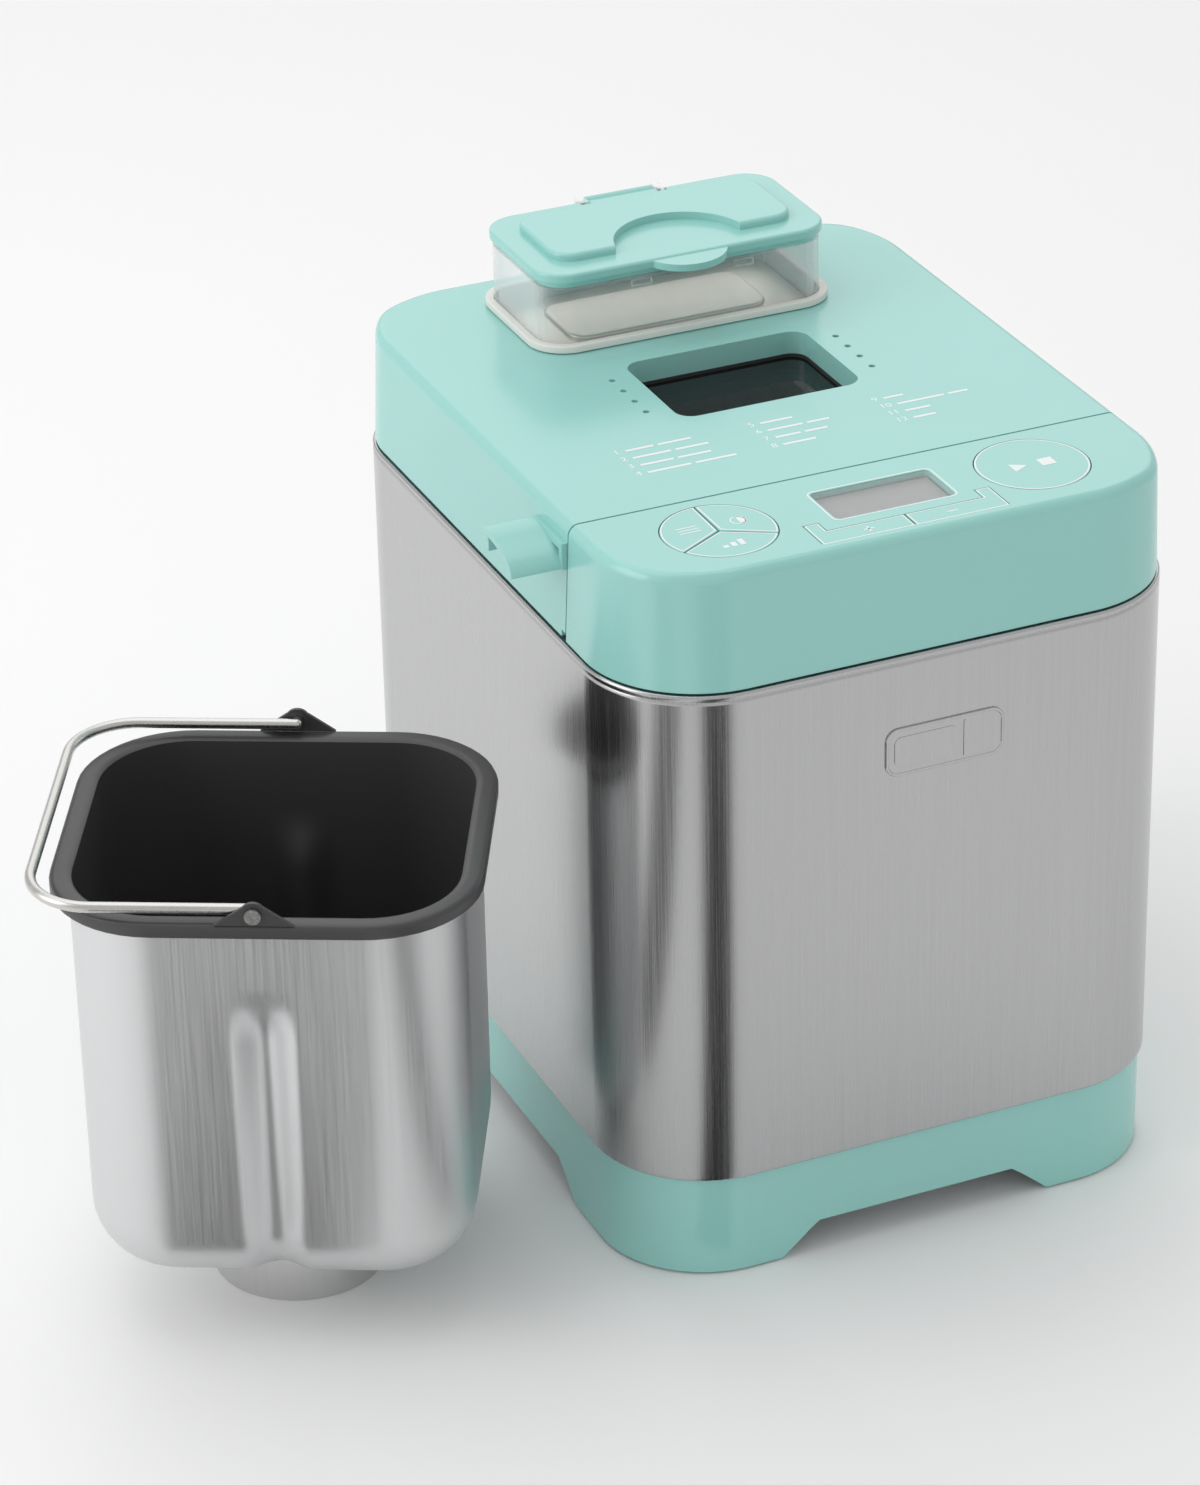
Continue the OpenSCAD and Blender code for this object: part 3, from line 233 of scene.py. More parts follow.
aqua = plastic("aqua_plastic", (0.315, 0.645, 0.60), 0.22, grain=0.004)
aqua.node_tree.nodes["Principled BSDF"].inputs["Specular IOR Level"].default_value = 0.7
rubber = plastic("rubber", (0.03, 0.03, 0.03), 0.75, grain=0.2)
finish_mesh("base_moulding", moulding("base_shell", 0.0007), aqua, "machine",
            ["base_shell"])
finish_mesh("foot_pads", moulding("rubber_feet", soft_edge), rubber, "machine",
            ["rubber_feet"])


def give(material, *nodes):
    """A CAD node keeps its shape and takes this finish."""
    for node in nodes:
        data = frame["nodes"][node].data
        data.materials.clear()
        data.materials.append(material)


# ---- Steel wrap ----
# One sheet of stainless steel, brushed upwards, bent round the body and folded in at both ends.
# The top fold leaves a narrow rolled lip that catches the light; the rear has upright air slots.


def outline(w, d, r, z, x=mid_x, y=mid_y, n=12):
    """Rounded rectangle of points, in millimetres, anticlockwise from above."""
    points = []
    for k, (sx, sy) in enumerate(((1, 1), (-1, 1), (-1, -1), (1, -1))):
        for i in range(n + 1):
            a = math.radians(90 * k + 90 * i / n)
            points.append(Vector((x + sx * (w / 2 - r) + r * math.cos(a),
                                  y + sy * (d / 2 - r) + r * math.sin(a), z)) * MM)
    return points


def skin(loops, ring=False):
    """Faces between successive loops of equal length; a ring joins the last to the first."""
    bm = bmesh.new()
    rows = [[bm.verts.new(p) for p in loop] for loop in loops]
    count = len(loops[0])
    pairs = list(zip(rows, rows[1:])) + ([(rows[-1], rows[0])] if ring else [])
    for low, high in pairs:
        for i in range(count):
            j = (i + 1) % count
            bm.faces.new((low[i], low[j], high[j], high[i]))
    if not ring:
        bm.faces.new(rows[0][::-1])
        bm.faces.new(rows[-1])
    return bm


def block(low, high):
    bm = bmesh.new()
    bmesh.ops.create_cube(bm, size=1)
    low, high = Vector(low) * MM, Vector(high) * MM
    for v in bm.verts:
        v.co = Vector((low[i] + (v.co[i] + 0.5) * (high[i] - low[i]) for i in range(3)))
    return bm


def cut(bm, cutter):
    """bm less the cutter's shape, both closed."""
    mesh = bpy.data.meshes.new("cutter")
    cutter.to_mesh(mesh)
    cutter.free()
    tool = bpy.data.objects.new("cutter", mesh)
    bpy.context.scene.collection.objects.link(tool)
    result = settled(bm, ("BOOLEAN", dict(operation="DIFFERENCE", object=tool, solver="EXACT")))
    bpy.data.objects.remove(tool)
    bpy.data.meshes.remove(mesh)
    return result


def together(*parts):
    """Several meshes as one."""
    whole = bmesh.new()
    for part in parts:
        mesh = bpy.data.meshes.new("part")
        part.to_mesh(mesh)
        part.free()
        whole.from_mesh(mesh)
        bpy.data.meshes.remove(mesh)
    return whole


def brushed(name, colour, rough, scale, depth, streak):
    """Brushed metal: long fine scratches along the axis with the smallest scale."""
    m = bpy.data.materials.new(name)
    m.use_nodes = True
    t = m.node_tree
    s = t.nodes["Principled BSDF"]
    s.inputs["Metallic"].default_value = 1
    where = t.nodes.new("ShaderNodeTexCoord")
    stretch = t.nodes.new("ShaderNodeMapping")
    stretch.inputs["Scale"].default_value = scale
    lines = t.nodes.new("ShaderNodeTexNoise")
    lines.inputs["Scale"].default_value = 1
    lines.inputs["Detail"].default_value = 4
    lines.inputs["Roughness"].default_value = 0.6
    ramp = t.nodes.new("ShaderNodeValToRGB")
    ramp.color_ramp.elements[0].position, ramp.color_ramp.elements[1].position = 0.3, 0.7
    ramp.color_ramp.elements[0].color = (*[c * (1 - streak) for c in colour], 1)
    ramp.color_ramp.elements[1].color = (*[min(1, c * (1 + streak)) for c in colour], 1)
    spread = t.nodes.new("ShaderNodeMapRange")
    spread.inputs["From Min"].default_value, spread.inputs["From Max"].default_value = 0.3, 0.7
    spread.inputs["To Min"].default_value = rough * 0.8
    spread.inputs["To Max"].default_value = rough * 1.25
    bump = t.nodes.new("ShaderNodeBump")
    bump.inputs["Strength"].default_value = depth
    bump.inputs["Distance"].default_value = 0.0002
    t.links.new(where.outputs["Object"], stretch.inputs["Vector"])
    t.links.new(stretch.outputs["Vector"], lines.inputs["Vector"])
    t.links.new(lines.outputs["Fac"], ramp.inputs["Fac"])
    t.links.new(ramp.outputs["Color"], s.inputs["Base Color"])
    t.links.new(lines.outputs["Fac"], spread.inputs["Value"])
    t.links.new(spread.outputs["Result"], s.inputs["Roughness"])
    t.links.new(lines.outputs["Fac"], bump.inputs["Height"])
    t.links.new(bump.outputs["Normal"], s.inputs["Normal"])
    return m


stainless = brushed("stainless", (0.5, 0.5, 0.505), 0.24, (2600, 2600, 12), 0.05, 0.05)
wrap_low, wrap_high = [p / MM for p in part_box("steel_wrap")]
wrap_w, wrap_d = wrap_high.x - wrap_low.x, wrap_high.y - wrap_low.y
wrap_r, fold, gauge = 44, 8, 0.8
lip_path = [(0.5, 0), (0.15, 0.15), (0, 0.5), (0, 1.5)]
rise = wrap_high.z - wrap_low.z
lip_path += [(0, rise * k / 8) for k in range(1, 8)] + [(0, rise - 4), (0, rise - 3.2)]
lip_path += [(0.35, rise - 2.7), (0.35, rise - 2.3), (0, rise - 1.8), (0, rise - 0.9),
             (0.25, rise - 0.3), (0.8, rise), (fold, rise), (fold, rise - gauge),
             (1.4, rise - gauge), (gauge, rise - 1.6), (gauge, gauge), (fold, gauge), (fold, 0)]
sheet = skin([outline(wrap_w - 2 * i, wrap_d - 2 * i, wrap_r - i, wrap_low.z + z, n=16)
              for i, z in lip_path], ring=True)


def node_tree(name, **inputs):
    """An empty Geometry Nodes tree with one named input for each size, and one for the finish."""
    tree = bpy.data.node_groups.new(name, "GeometryNodeTree")
    tree.interface.new_socket("Geometry", in_out="INPUT", socket_type="NodeSocketGeometry")
    for label, kind in inputs.items():
        tree.interface.new_socket(label, in_out="INPUT", socket_type="NodeSocket" + kind)
    tree.interface.new_socket("Finish", in_out="INPUT", socket_type="NodeSocketMaterial")
    tree.interface.new_socket("Geometry", in_out="OUTPUT", socket_type="NodeSocketGeometry")
    return tree, tree.nodes.new("NodeGroupInput"), tree.nodes.new("NodeGroupOutput")


def put(tree, kind, links=None, operation=None, **values):
    """A node of the tree with its inputs set or linked."""
    node = tree.nodes.new(kind)
    if operation:
        node.operation, node.solver = operation, "EXACT"
    for label, value in values.items():
        node.inputs[label].default_value = value
    for label, source in (links or {}).items():
        for each in source if isinstance(source, list) else [source]:
            tree.links.new(each, node.inputs[label])
    return node


def vector(tree, x=0.0, y=0.0, z=0.0):
    """A vector whose parts are numbers or outputs."""
    node = tree.nodes.new("ShaderNodeCombineXYZ")
    for k, part in enumerate((x, y, z)):
        if isinstance(part, (int, float)):
            node.inputs[k].default_value = part
        else:
            tree.links.new(part, node.inputs[k])
    return node.outputs[0]


def times(tree, source, by):
    node = tree.nodes.new("ShaderNodeMath")
    node.operation = "MULTIPLY"
    node.inputs[1].default_value = by
    tree.links.new(source, node.inputs[0])
    return node.outputs[0]


def grow(tree, points, finish, **sizes):
    """What the tree makes on some points, as a plain mesh."""
    mesh = bpy.data.meshes.new("points")
    mesh.from_pydata(points, [], [])
    holder = bpy.data.objects.new("points", mesh)
    bpy.context.scene.collection.objects.link(holder)
    stage = holder.modifiers.new("tree", "NODES")
    stage.node_group = tree
    for item in tree.interface.items_tree:
        if item.in_out == "INPUT" and item.name in sizes:
            stage[item.identifier] = sizes[item.name]
        elif item.in_out == "INPUT" and item.name == "Finish":
            stage[item.identifier] = finish
    graph = bpy.context.evaluated_depsgraph_get()
    done = bpy.data.meshes.new_from_object(holder.evaluated_get(graph))
    bm = bmesh.new()
    bm.from_mesh(done)
    bpy.data.objects.remove(holder)
    bpy.data.meshes.remove(mesh)
    bpy.data.meshes.remove(done)
    bmesh.ops.remove_doubles(bm, verts=bm.verts, dist=1e-7)
    return bm


slot_tree, given, made = node_tree("air_slots", Count="Int", Pitch="Float", Width="Float",
                                   Height="Float", Depth="Float")
upright_slot = put(slot_tree, "GeometryNodeMeshCube", {
    "Size": vector(slot_tree, given.outputs["Width"], given.outputs["Depth"],
                   given.outputs["Height"])})
row = put(slot_tree, "GeometryNodeMeshLine", {
    "Count": given.outputs["Count"], "Offset": vector(slot_tree, given.outputs["Pitch"])})
placed = put(slot_tree, "GeometryNodeInstanceOnPoints", {
    "Points": row.outputs["Mesh"], "Instance": upright_slot.outputs["Mesh"]})
real = put(slot_tree, "GeometryNodeRealizeInstances", {"Geometry": placed.outputs[0]})
coated = put(slot_tree, "GeometryNodeSetMaterial", {
    "Geometry": real.outputs[0], "Material": given.outputs["Finish"]})
slot_tree.links.new(coated.outputs[0], made.inputs[0])
slot_count, slot_pitch, slot_w, slot_reach, slot_low, slot_high = 9, 10, 3.6, 6, 64, 100
slots = grow(slot_tree, [(0, 0, 0)], stainless, Count=slot_count, Pitch=slot_pitch * MM,
             Width=slot_w * MM, Height=(slot_high - slot_low) * MM, Depth=slot_reach * MM)
first_slot = Vector((mid_x - slot_pitch * (slot_count - 1) / 2, wrap_high.y,
                     (slot_low + slot_high) / 2)) * MM
for v in slots.verts:
    v.co += first_slot
finish_mesh("wrap_sheet", cut(sheet, slots), stainless, "machine", ["steel_wrap"],
            smooth=50)


# ---- Raised plaque on the front ----
# A pressed badge of the same steel as the wrap, stuck on below the controls. It carries no mark,
# only a raised border and a divider at two thirds of its width.
badge_low, badge_high = [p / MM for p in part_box("front_plaque")]
badge_w, badge_h = badge_high.x - badge_low.x, badge_high.z - badge_low.z
badge_x, badge_z = (badge_low.x + badge_high.x) / 2, (badge_low.z + badge_high.z) / 2
badge_y = badge_high.y


def upright(loop, out):
    """A flat loop stood up on the front of the wrap, at a distance out from it."""
    return [Vector((p.x, badge_y * MM - out * MM, badge_z * MM + p.y)) for p in loop]


def badge_loop(inset, out, x=badge_x, w=badge_w, h=badge_h, r=5):
    return upright(outline(w - 2 * inset, h - 2 * inset, r - inset, 0, x, 0, 8), out)


border = skin([badge_loop(0, 0), badge_loop(0, 0.5), badge_loop(0.25, 0.75), badge_loop(1.0, 0.75),
               badge_loop(1.25, 0.45)])
bmesh.ops.recalc_face_normals(border, faces=border.faces)
divider_x, divider_half, divider_end = badge_x + badge_w / 6, 0.4, badge_h / 2
divider = block((divider_x - divider_half, badge_y - 0.7, badge_z - divider_end + 2.5),
                (divider_x + divider_half, badge_y, badge_z + divider_end - 2.5))
panel_w = badge_w * 2 / 3 - 6
raised = skin([badge_loop(i, out, badge_x - badge_w / 6 + 0.4, panel_w, badge_h - 7, 3)
               for i, out in ((0, 0.4), (0, 0.55), (0.3, 0.7))])
bmesh.ops.recalc_face_normals(raised, faces=raised.faces)
finish_mesh("front_badge", together(border, divider, raised), stainless, "machine",
            ["front_plaque"])

# ---- Chassis, posts and screws ----
# A pressed steel plate carries everything inside. Four turned posts stand on it, a folded shield
# hangs under the chamber, and cross-head screws hold the chassis, housing, motor and lid liner.
zinc_steel = brushed("zinc_steel", (0.5, 0.52, 0.54), 0.35, (300, 300, 300), 0.1, 0.1)
give(zinc_steel, "bottom_plate", "chassis_plate", "frame_posts", "heat_shield", "element_clips")

screw_tree, given, made = node_tree("cross_head_screws", Head="Float", Rise="Float", Shank="Float",
                                    Length="Float", Turn="Float")
head = put(screw_tree, "GeometryNodeMeshCylinder", {
    "Radius": given.outputs["Head"], "Depth": given.outputs["Rise"]}, Vertices=24)
seated = put(screw_tree, "GeometryNodeTransform", {
    "Geometry": head.outputs["Mesh"],
    "Translation": vector(screw_tree, 0, 0, times(screw_tree, given.outputs["Rise"], 0.5))})
arms = []
for wide, deep in ((1.2, 0.24), (0.24, 1.2)):
    arm = put(screw_tree, "GeometryNodeMeshCube", {
        "Size": vector(screw_tree, times(screw_tree, given.outputs["Head"], wide),
                       times(screw_tree, given.outputs["Head"], deep), given.outputs["Rise"])})
    arms.append(put(screw_tree, "GeometryNodeTransform", {
        "Geometry": arm.outputs["Mesh"],
        "Translation": vector(screw_tree, 0, 0, given.outputs["Rise"])}).outputs[0])
recessed = put(screw_tree, "GeometryNodeMeshBoolean", {
    "Mesh 1": seated.outputs[0], "Mesh 2": arms}, "DIFFERENCE")
shank = put(screw_tree, "GeometryNodeMeshCylinder", {
    "Radius": given.outputs["Shank"], "Depth": given.outputs["Length"]}, Vertices=16)
hung = put(screw_tree, "GeometryNodeTransform", {
    "Geometry": shank.outputs["Mesh"],
    "Translation": vector(screw_tree, 0, 0, times(screw_tree, given.outputs["Length"], -0.499))})
whole = put(screw_tree, "GeometryNodeJoinGeometry", {
    "Geometry": [hung.outputs[0], recessed.outputs["Mesh"]]})
placed = put(screw_tree, "GeometryNodeInstanceOnPoints", {
    "Points": given.outputs["Geometry"], "Instance": whole.outputs[0],
    "Rotation": vector(screw_tree, given.outputs["Turn"])})
real = put(screw_tree, "GeometryNodeRealizeInstances", {"Geometry": placed.outputs[0]})
coated = put(screw_tree, "GeometryNodeSetMaterial", {
    "Geometry": real.outputs[0], "Material": given.outputs["Finish"]})
screw_tree.links.new(coated.outputs[0], made.inputs[0])


def places(node):
    """The lowest and highest corners of each separate solid of a CAD node."""
    bm = bmesh.new()
    bm.from_mesh(frame["nodes"][node].data)
    bmesh.ops.remove_doubles(bm, verts=bm.verts, dist=WELD)
    left, found = set(bm.verts), []
    while left:
        group, edge = set(), [left.pop()]
        while edge:
            v = edge.pop()
            group.add(v)
            for e in v.link_edges:
                other = e.other_vert(v)
                if other in left:
                    left.remove(other)
                    edge.append(other)
        found.append([Vector([pick(v.co[i] for v in group) for i in range(3)])
                      for pick in (min, max)])
    bm.free()
    return sorted(found, key=lambda pair: tuple(round(c, 5) for c in pair[0]))


for node, body, rise, shank_r, up in (("chassis_screws", "machine", 2.2, 1.5, 1),
                                      ("housing_screws", "machine", 2.0, 1.5, 1),
                                      ("motor_screws", "machine", 1.6, 1.5, -1),
                                      ("lid_screws", "lid", 1.4, 1.4, -1)):
    boxes = places(node)
    low, high = boxes[0]
    seats = [((a.x + b.x) / 2, (a.y + b.y) / 2, b.z - rise * MM if up > 0 else a.z + rise * MM)
             for a, b in boxes]
    screws = grow(screw_tree, seats, zinc_steel, Head=(high.x - low.x) / 2, Rise=rise * MM,
                  Shank=shank_r * MM, Length=high.z - low.z - rise * MM,
                  Turn=0.0 if up > 0 else math.pi)
    finish_mesh(node.replace("screws", "cross_heads"), screws, zinc_steel, body,
                [node])

# ---- Baking chamber ----
# A deep drawn liner of aluminised steel round a cast seat that the pan locks into, with a tubular
# heating element clipped round it, a sensor in a steel sheath and a thermal fuse on the wall.
aluminised = brushed("aluminised", (0.55, 0.55, 0.55), 0.38, (60, 60, 400), 0.1, 0.06)
cast_metal = brushed("cast_metal", (0.55, 0.56, 0.57), 0.45, (900, 900, 900), 0.3, 0.1)
satin_wire = brushed("satin_wire", (0.6, 0.59, 0.57), 0.28, (500, 500, 500), 0.008, 0.03)
element_metal = brushed("element_metal", (0.2, 0.2, 0.2), 0.4, (700, 700, 700), 0.2, 0.2)
brass = brushed("brass", (0.78, 0.62, 0.3), 0.3, (300, 300, 300), 0.1, 0.1)
black_plastic = plastic("black_plastic", (0.03, 0.03, 0.033), 0.5, grain=0.1, flow=0.1)
give(aluminised, "chamber_liner")
give(cast_metal, "pan_seat")
give(brass, "drive_bush")
give(element_metal, "heating_element")
give(satin_wire, "temperature_sensor")
give(black_plastic, "thermal_fuse")

# ---- Motor and belt drive ----
# An induction motor hangs from a folded bracket with its capacitor beside it. A small cast
# pulley drives a large moulded one through a rubber belt, and that turns the coupling in the seat.
give(zinc_steel, "motor", "motor_bracket")
give(black_plastic, "motor_capacitor", "drive_pulley")
give(cast_metal, "motor_pulley", "drive_coupling")
give(rubber, "drive_belt")
give(satin_wire, "drive_shaft")

# ---- Boards and wiring ----
# Green glass-fibre boards, one beside the chamber for power and one under the keys, joined by a
# black harness. The mains lead would pass through the gland at the back.
circuit_board = plastic("circuit_board", (0.02, 0.16, 0.07), 0.4, grain=0.1, flow=0.2)
display_panel = plastic("display_panel", (0.26, 0.26, 0.26), 0.35)
give(circuit_board, "control_board", "power_board")
give(black_plastic, "wire_harness", "cord_gland")
give(display_panel, "display_module")

# ---- Control housing and lid shells ----
# Two glossy aqua mouldings that share one outline, parted by a straight seam. Their sides lean in
# a little towards the top so that they leave the tool, and the top edge is softly rounded.
top_low, top_high = [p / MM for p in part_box("top_housing")]
lid_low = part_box("lid_shell")[0] / MM
half_w, half_d = top_high.x - mid_x, mid_y - top_low.y
lid_top = top_high.z
draft_in = 2.2
shadow_gap = 0.7


def lean(p):
    """Draws the outer band of a shell inwards, more towards the top."""
    up = max(0, min(1, (p.z / MM - wrap_high.z) / (lid_top - wrap_high.z)))
    q = p.copy()
    if p.z / MM < wrap_high.z + 1 and abs(p.z / MM - wrap_high.z) < 1:
        q.z += shadow_gap * MM
    for axis, half, middle in ((0, half_w, mid_x), (1, half_d, mid_y)):
        away = p[axis] / MM - middle
        edge = max(0, min(1, (abs(away) - (half - 16)) / 16))
        q[axis] -= math.copysign(draft_in * MM * up * edge * edge * (3 - 2 * edge), away)
    return q


finish_mesh("control_housing", moulding("top_housing", soft_edge, draw=lean), aqua, "machine",
            ["top_housing"])

# The lifting lip is a plate that curves down towards the front, moulded on the lid's left side.
side_x = mid_x - half_w
plain_lip = block((side_x - 40, lid_low.y - 5, 240), (side_x - 0.4, lid_low.y + 45, lid_top + 9))
lid_shape = cut(moulding("lid_shell", soft_edge, draw=lean), plain_lip)
lip_out, lip_in = side_x - 19.5, side_x + 2
lip_y, lip_level = lid_low.y + 0.2, lid_top - 7
lip_back, leg_front = lip_y + 25.5, lip_y + 23.2
lip_reach, lip_drop, lip_thick = 25.2, 9.8, 2.4
upper = [(lip_back - lip_reach * math.sin(a), lip_level - lip_drop * (1 - math.cos(a)))
         for a in [math.radians(7.5 * k) for k in range(13)]]
lower = [(y + 0.6 + 2 * k / 12, z - lip_thick * (1 - k / 14))
         for k, (y, z) in enumerate(upper)][::-1]
section = upper + [(lip_y + 2.8, lip_level - 10)] + lower[1:]
leg = [(lip_back, lip_level), (leg_front, lip_level - 1), (leg_front, lip_level - 9),
       (lip_back, lip_level - 9)]


def bar(points, x0, x1):
    """A profile in the depth and height directions, drawn out along the width."""
    bm = bmesh.new()
    ends = [[bm.verts.new(Vector((x, y, z)) * MM) for y, z in points] for x in (x0, x1)]
    for i in range(len(points)):
        j = (i + 1) % len(points)
        bm.faces.new((ends[0][i], ends[0][j], ends[1][j], ends[1][i]))
    bm.faces.new(ends[0][::-1])
    bm.faces.new(ends[1])
    bmesh.ops.recalc_face_normals(bm, faces=bm.faces)
    return settled(bm, ("BEVEL", dict(width=0.0004, segments=2, limit_method="ANGLE",
                                      angle_limit=hard_angle)))


lid_shape = together(lid_shape, bar(section, lip_out, lip_in), bar(leg, lip_out + 1, lip_in))
finish_mesh("lid_moulding", lid_shape, aqua, "lid", ["lid_shell"])

# ---- Lid liner, window and hinge ----
# Under the lid shell sit an aluminised liner with air ducts, a pane of smoked glass on a rubber
# gasket, and the solenoid that trips the dispenser's flap. The lid turns on two steel pins.
smoked_glass = plastic("smoked_glass", (0.008, 0.008, 0.009), 0.05, grain=0.0)
smoked_glass.node_tree.nodes["Principled BSDF"].inputs["Alpha"].default_value = 0.9
give(aluminised, "lid_liner")
give(smoked_glass, "window_glass")
give(rubber, "window_gasket")
give(black_plastic, "flap_solenoid")
give(satin_wire, "hinge_pins")

# ---- Printed marks on the lid ----
# White ink: the programme numbers, each with a plain bar for every word of its name. The ink is
# about a twentieth of a millimetre thick and stands on the moulding.
ink = plastic("white_ink", (0.86, 0.9, 0.89), 0.5)
ink_base, ink_t = 0.01, 0.06


def flat_mark(shapes, level):
    """Thin slabs of ink from flat outlines, each a list of corners, resting at a level."""
    bm = bmesh.new()
    for corners in shapes:
        rows = [[bm.verts.new(Vector((x, y, level + t)) * MM) for x, y in corners]
                for t in (ink_base, ink_t)]
        for i in range(len(corners)):
            j = (i + 1) % len(corners)
            bm.faces.new((rows[0][i], rows[0][j], rows[1][j], rows[1][i]))
        bm.faces.new(rows[0][::-1])
        bm.faces.new(rows[1])
    bmesh.ops.recalc_face_normals(bm, faces=bm.faces)
    return bm


def number(text, height, x, y, level):
    """A printed number as a mesh, its lower left corner at x, y."""
    letters = bpy.data.curves.new("number", "FONT")
    letters.body, letters.size, letters.extrude = text, height * 1.4 * MM, ink_t / 2 * MM
    holder = bpy.data.objects.new("number", letters)
    bpy.context.scene.collection.objects.link(holder)
    graph = bpy.context.evaluated_depsgraph_get()
    mesh = bpy.data.meshes.new_from_object(holder.evaluated_get(graph))
    bm = bmesh.new()
    bm.from_mesh(mesh)
    for v in bm.verts:
        v.co += Vector((x, y, level + ink_t / 2)) * MM
    bpy.data.objects.remove(holder)
    bpy.data.curves.remove(letters)
    bpy.data.meshes.remove(mesh)
    return bm


def rectangle(x0, y0, x1, y1):
    return [(x0, y0), (x1, y0), (x1, y1), (x0, y1)]


marks, bars = [], []
word_widths = ((11, 13), (15, 13), (13, 13), (17, 16), (13,), (14, 9), (10, 9), (13,),
               (8,), (19, 8), (10,), (9,))
column_x, first_row, row_pitch, figure_h = (-70.5, -17, 33), 32.4, 6.6, 3.4
bar_low, bar_high, word_gap = 0.5, 1.9, 1.8
for k, widths in enumerate(word_widths):
    x = mid_x + column_x[k // 4]
    y = mid_y - first_row - row_pitch * (k % 4)
    marks.append(number(str(k + 1), figure_h, x, y, lid_top))
    x += 4.6 if k < 9 else 7
    for w in widths:
        bars.append(rectangle(x, y + bar_low, x + w, y + bar_high))
        x += w + word_gap
finish_mesh("programme_list", together(flat_mark(bars, lid_top), *marks), ink, "lid")

# ---- Keys ----
# Six key caps of the same aqua plastic, each with a fine printed outline and a plain sign.
# They stand flush in their openings and press down onto switches.


def stripe(path, width):
    """Short flat quads that follow a closed path at an even width."""
    count, quads, sides = len(path), [], []
    for i, p in enumerate(path):
        before, after = path[i - 1], path[(i + 1) % count]
        way = [(Vector(b) - Vector(a)).normalized() for a, b in ((before, p), (p, after)) if a != b]
        normals = [Vector((-w.y, w.x)) for w in way]
        out = sum(normals, Vector((0, 0))).normalized()
        reach = width / 2 / max(0.3, out.dot(normals[0]))
        sides.append((Vector(p) + out * reach, Vector(p) - out * reach))
    for i in range(count):
        j = (i + 1) % count
        quads.append([sides[i][1], sides[j][1], sides[j][0], sides[i][0]])
    return quads


def ring_path(x, y, r, first=0, last=360, steps=48):
    count = steps + (last - first < 360)
    return [(x + r * math.cos(math.radians(a)), y + r * math.sin(math.radians(a)))
            for a in [first + (last - first) * i / steps for i in range(count)]]


field_r, line, half_sweep = 20.8, 0.55, 57.6
menu_x, start_x, field_y = mid_x - 63.2, mid_x + 59.8, mid_y - 105
outlines = {}
for key, a in (("crust", 30), ("menu", 150), ("size", 270)):
    c, s = math.cos(math.radians(a)), math.sin(math.radians(a))
    tip = (menu_x + 1.3 * c, field_y + 1.3 * s)
    arc = ring_path(menu_x, field_y, field_r - line, a - half_sweep, a + half_sweep, 24)
    outlines[key] = stripe([tip] + arc, line)
at_x, at_y = menu_x - 9.5, field_y + 4.6
outlines["menu"] += [rectangle(at_x - 4, at_y + d, at_x + 4, at_y + d + 0.6) for d in (-2, 0, 2)]
at_x, moon_r = menu_x + 9.5, 2.8
outlines["crust"] += stripe(ring_path(at_x, at_y, moon_r, steps=24), 0.5)
outlines["crust"] += [[(at_x, at_y - moon_r)] + ring_path(at_x, at_y, moon_r, -90, 90, 12)]
for i in range(3):
    x, y, h = menu_x - 4 + 3.2 * i, field_y - 13.5, 2 + 1.2 * i
    outlines["size"] += [rectangle(x, y, x + 2, y + h)]
play, play_half, stop_half = start_x - 5, 3.2, 2.8
outlines["start"] = stripe(ring_path(start_x, field_y, field_r - 0.5, steps=64), line + 0.1)
outlines["start"] += [[(play - 3, field_y - play_half), (play + 3, field_y),
                       (play - 3, field_y + play_half)],
                      rectangle(play + 8, field_y - stop_half, play + 13.6, field_y + stop_half)]
plus_low, plus_high = [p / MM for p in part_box("key_plus")]
minus_low, minus_high = [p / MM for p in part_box("key_minus")]
arm, thick, inset = 5.6, 9.5, 0.45
x0, x1, y0, y1 = plus_low.x + inset, plus_high.x - inset, plus_low.y + inset, plus_high.y - inset
bar_y = plus_low.y + thick - inset
outlines["plus"] = stripe([(x0, y0), (x1, y0), (x1, bar_y), (x0 + arm - 0.6, bar_y),
                           (x0 + arm - 2 * inset, bar_y + 0.3), (x0 + arm - 2 * inset, y1),
                           (x0, y1)], line)
sign_x, sign_y = (plus_low.x + plus_high.x) / 2 + 2, plus_low.y + thick / 2
sign_long, sign_thin = 2, 0.35
outlines["plus"] += [rectangle(sign_x - a, sign_y - b, sign_x + a, sign_y + b)
                     for a, b in ((sign_long, sign_thin), (sign_thin, sign_long))]
x0, x1 = minus_low.x + inset, minus_high.x - inset
outlines["minus"] = stripe([(x1, y0), (x1, y1), (x1 - arm + 2 * inset, y1),
                            (x1 - arm + 2 * inset, bar_y + 0.3), (x1 - arm + 0.6, bar_y),
                            (x0, bar_y), (x0, y0)], line)
sign_x = (minus_low.x + minus_high.x) / 2 - 2
outlines["minus"] += [rectangle(sign_x - sign_long, sign_y - sign_thin, sign_x + sign_long,
                                sign_y + sign_thin)]
for key, shapes in outlines.items():
    finish_mesh(key + "_cap", moulding("key_" + key, fine_edge), aqua, key + "_key",
                ["key_" + key])
    finish_mesh(key + "_mark", flat_mark(shapes, lid_top), ink, key + "_key")

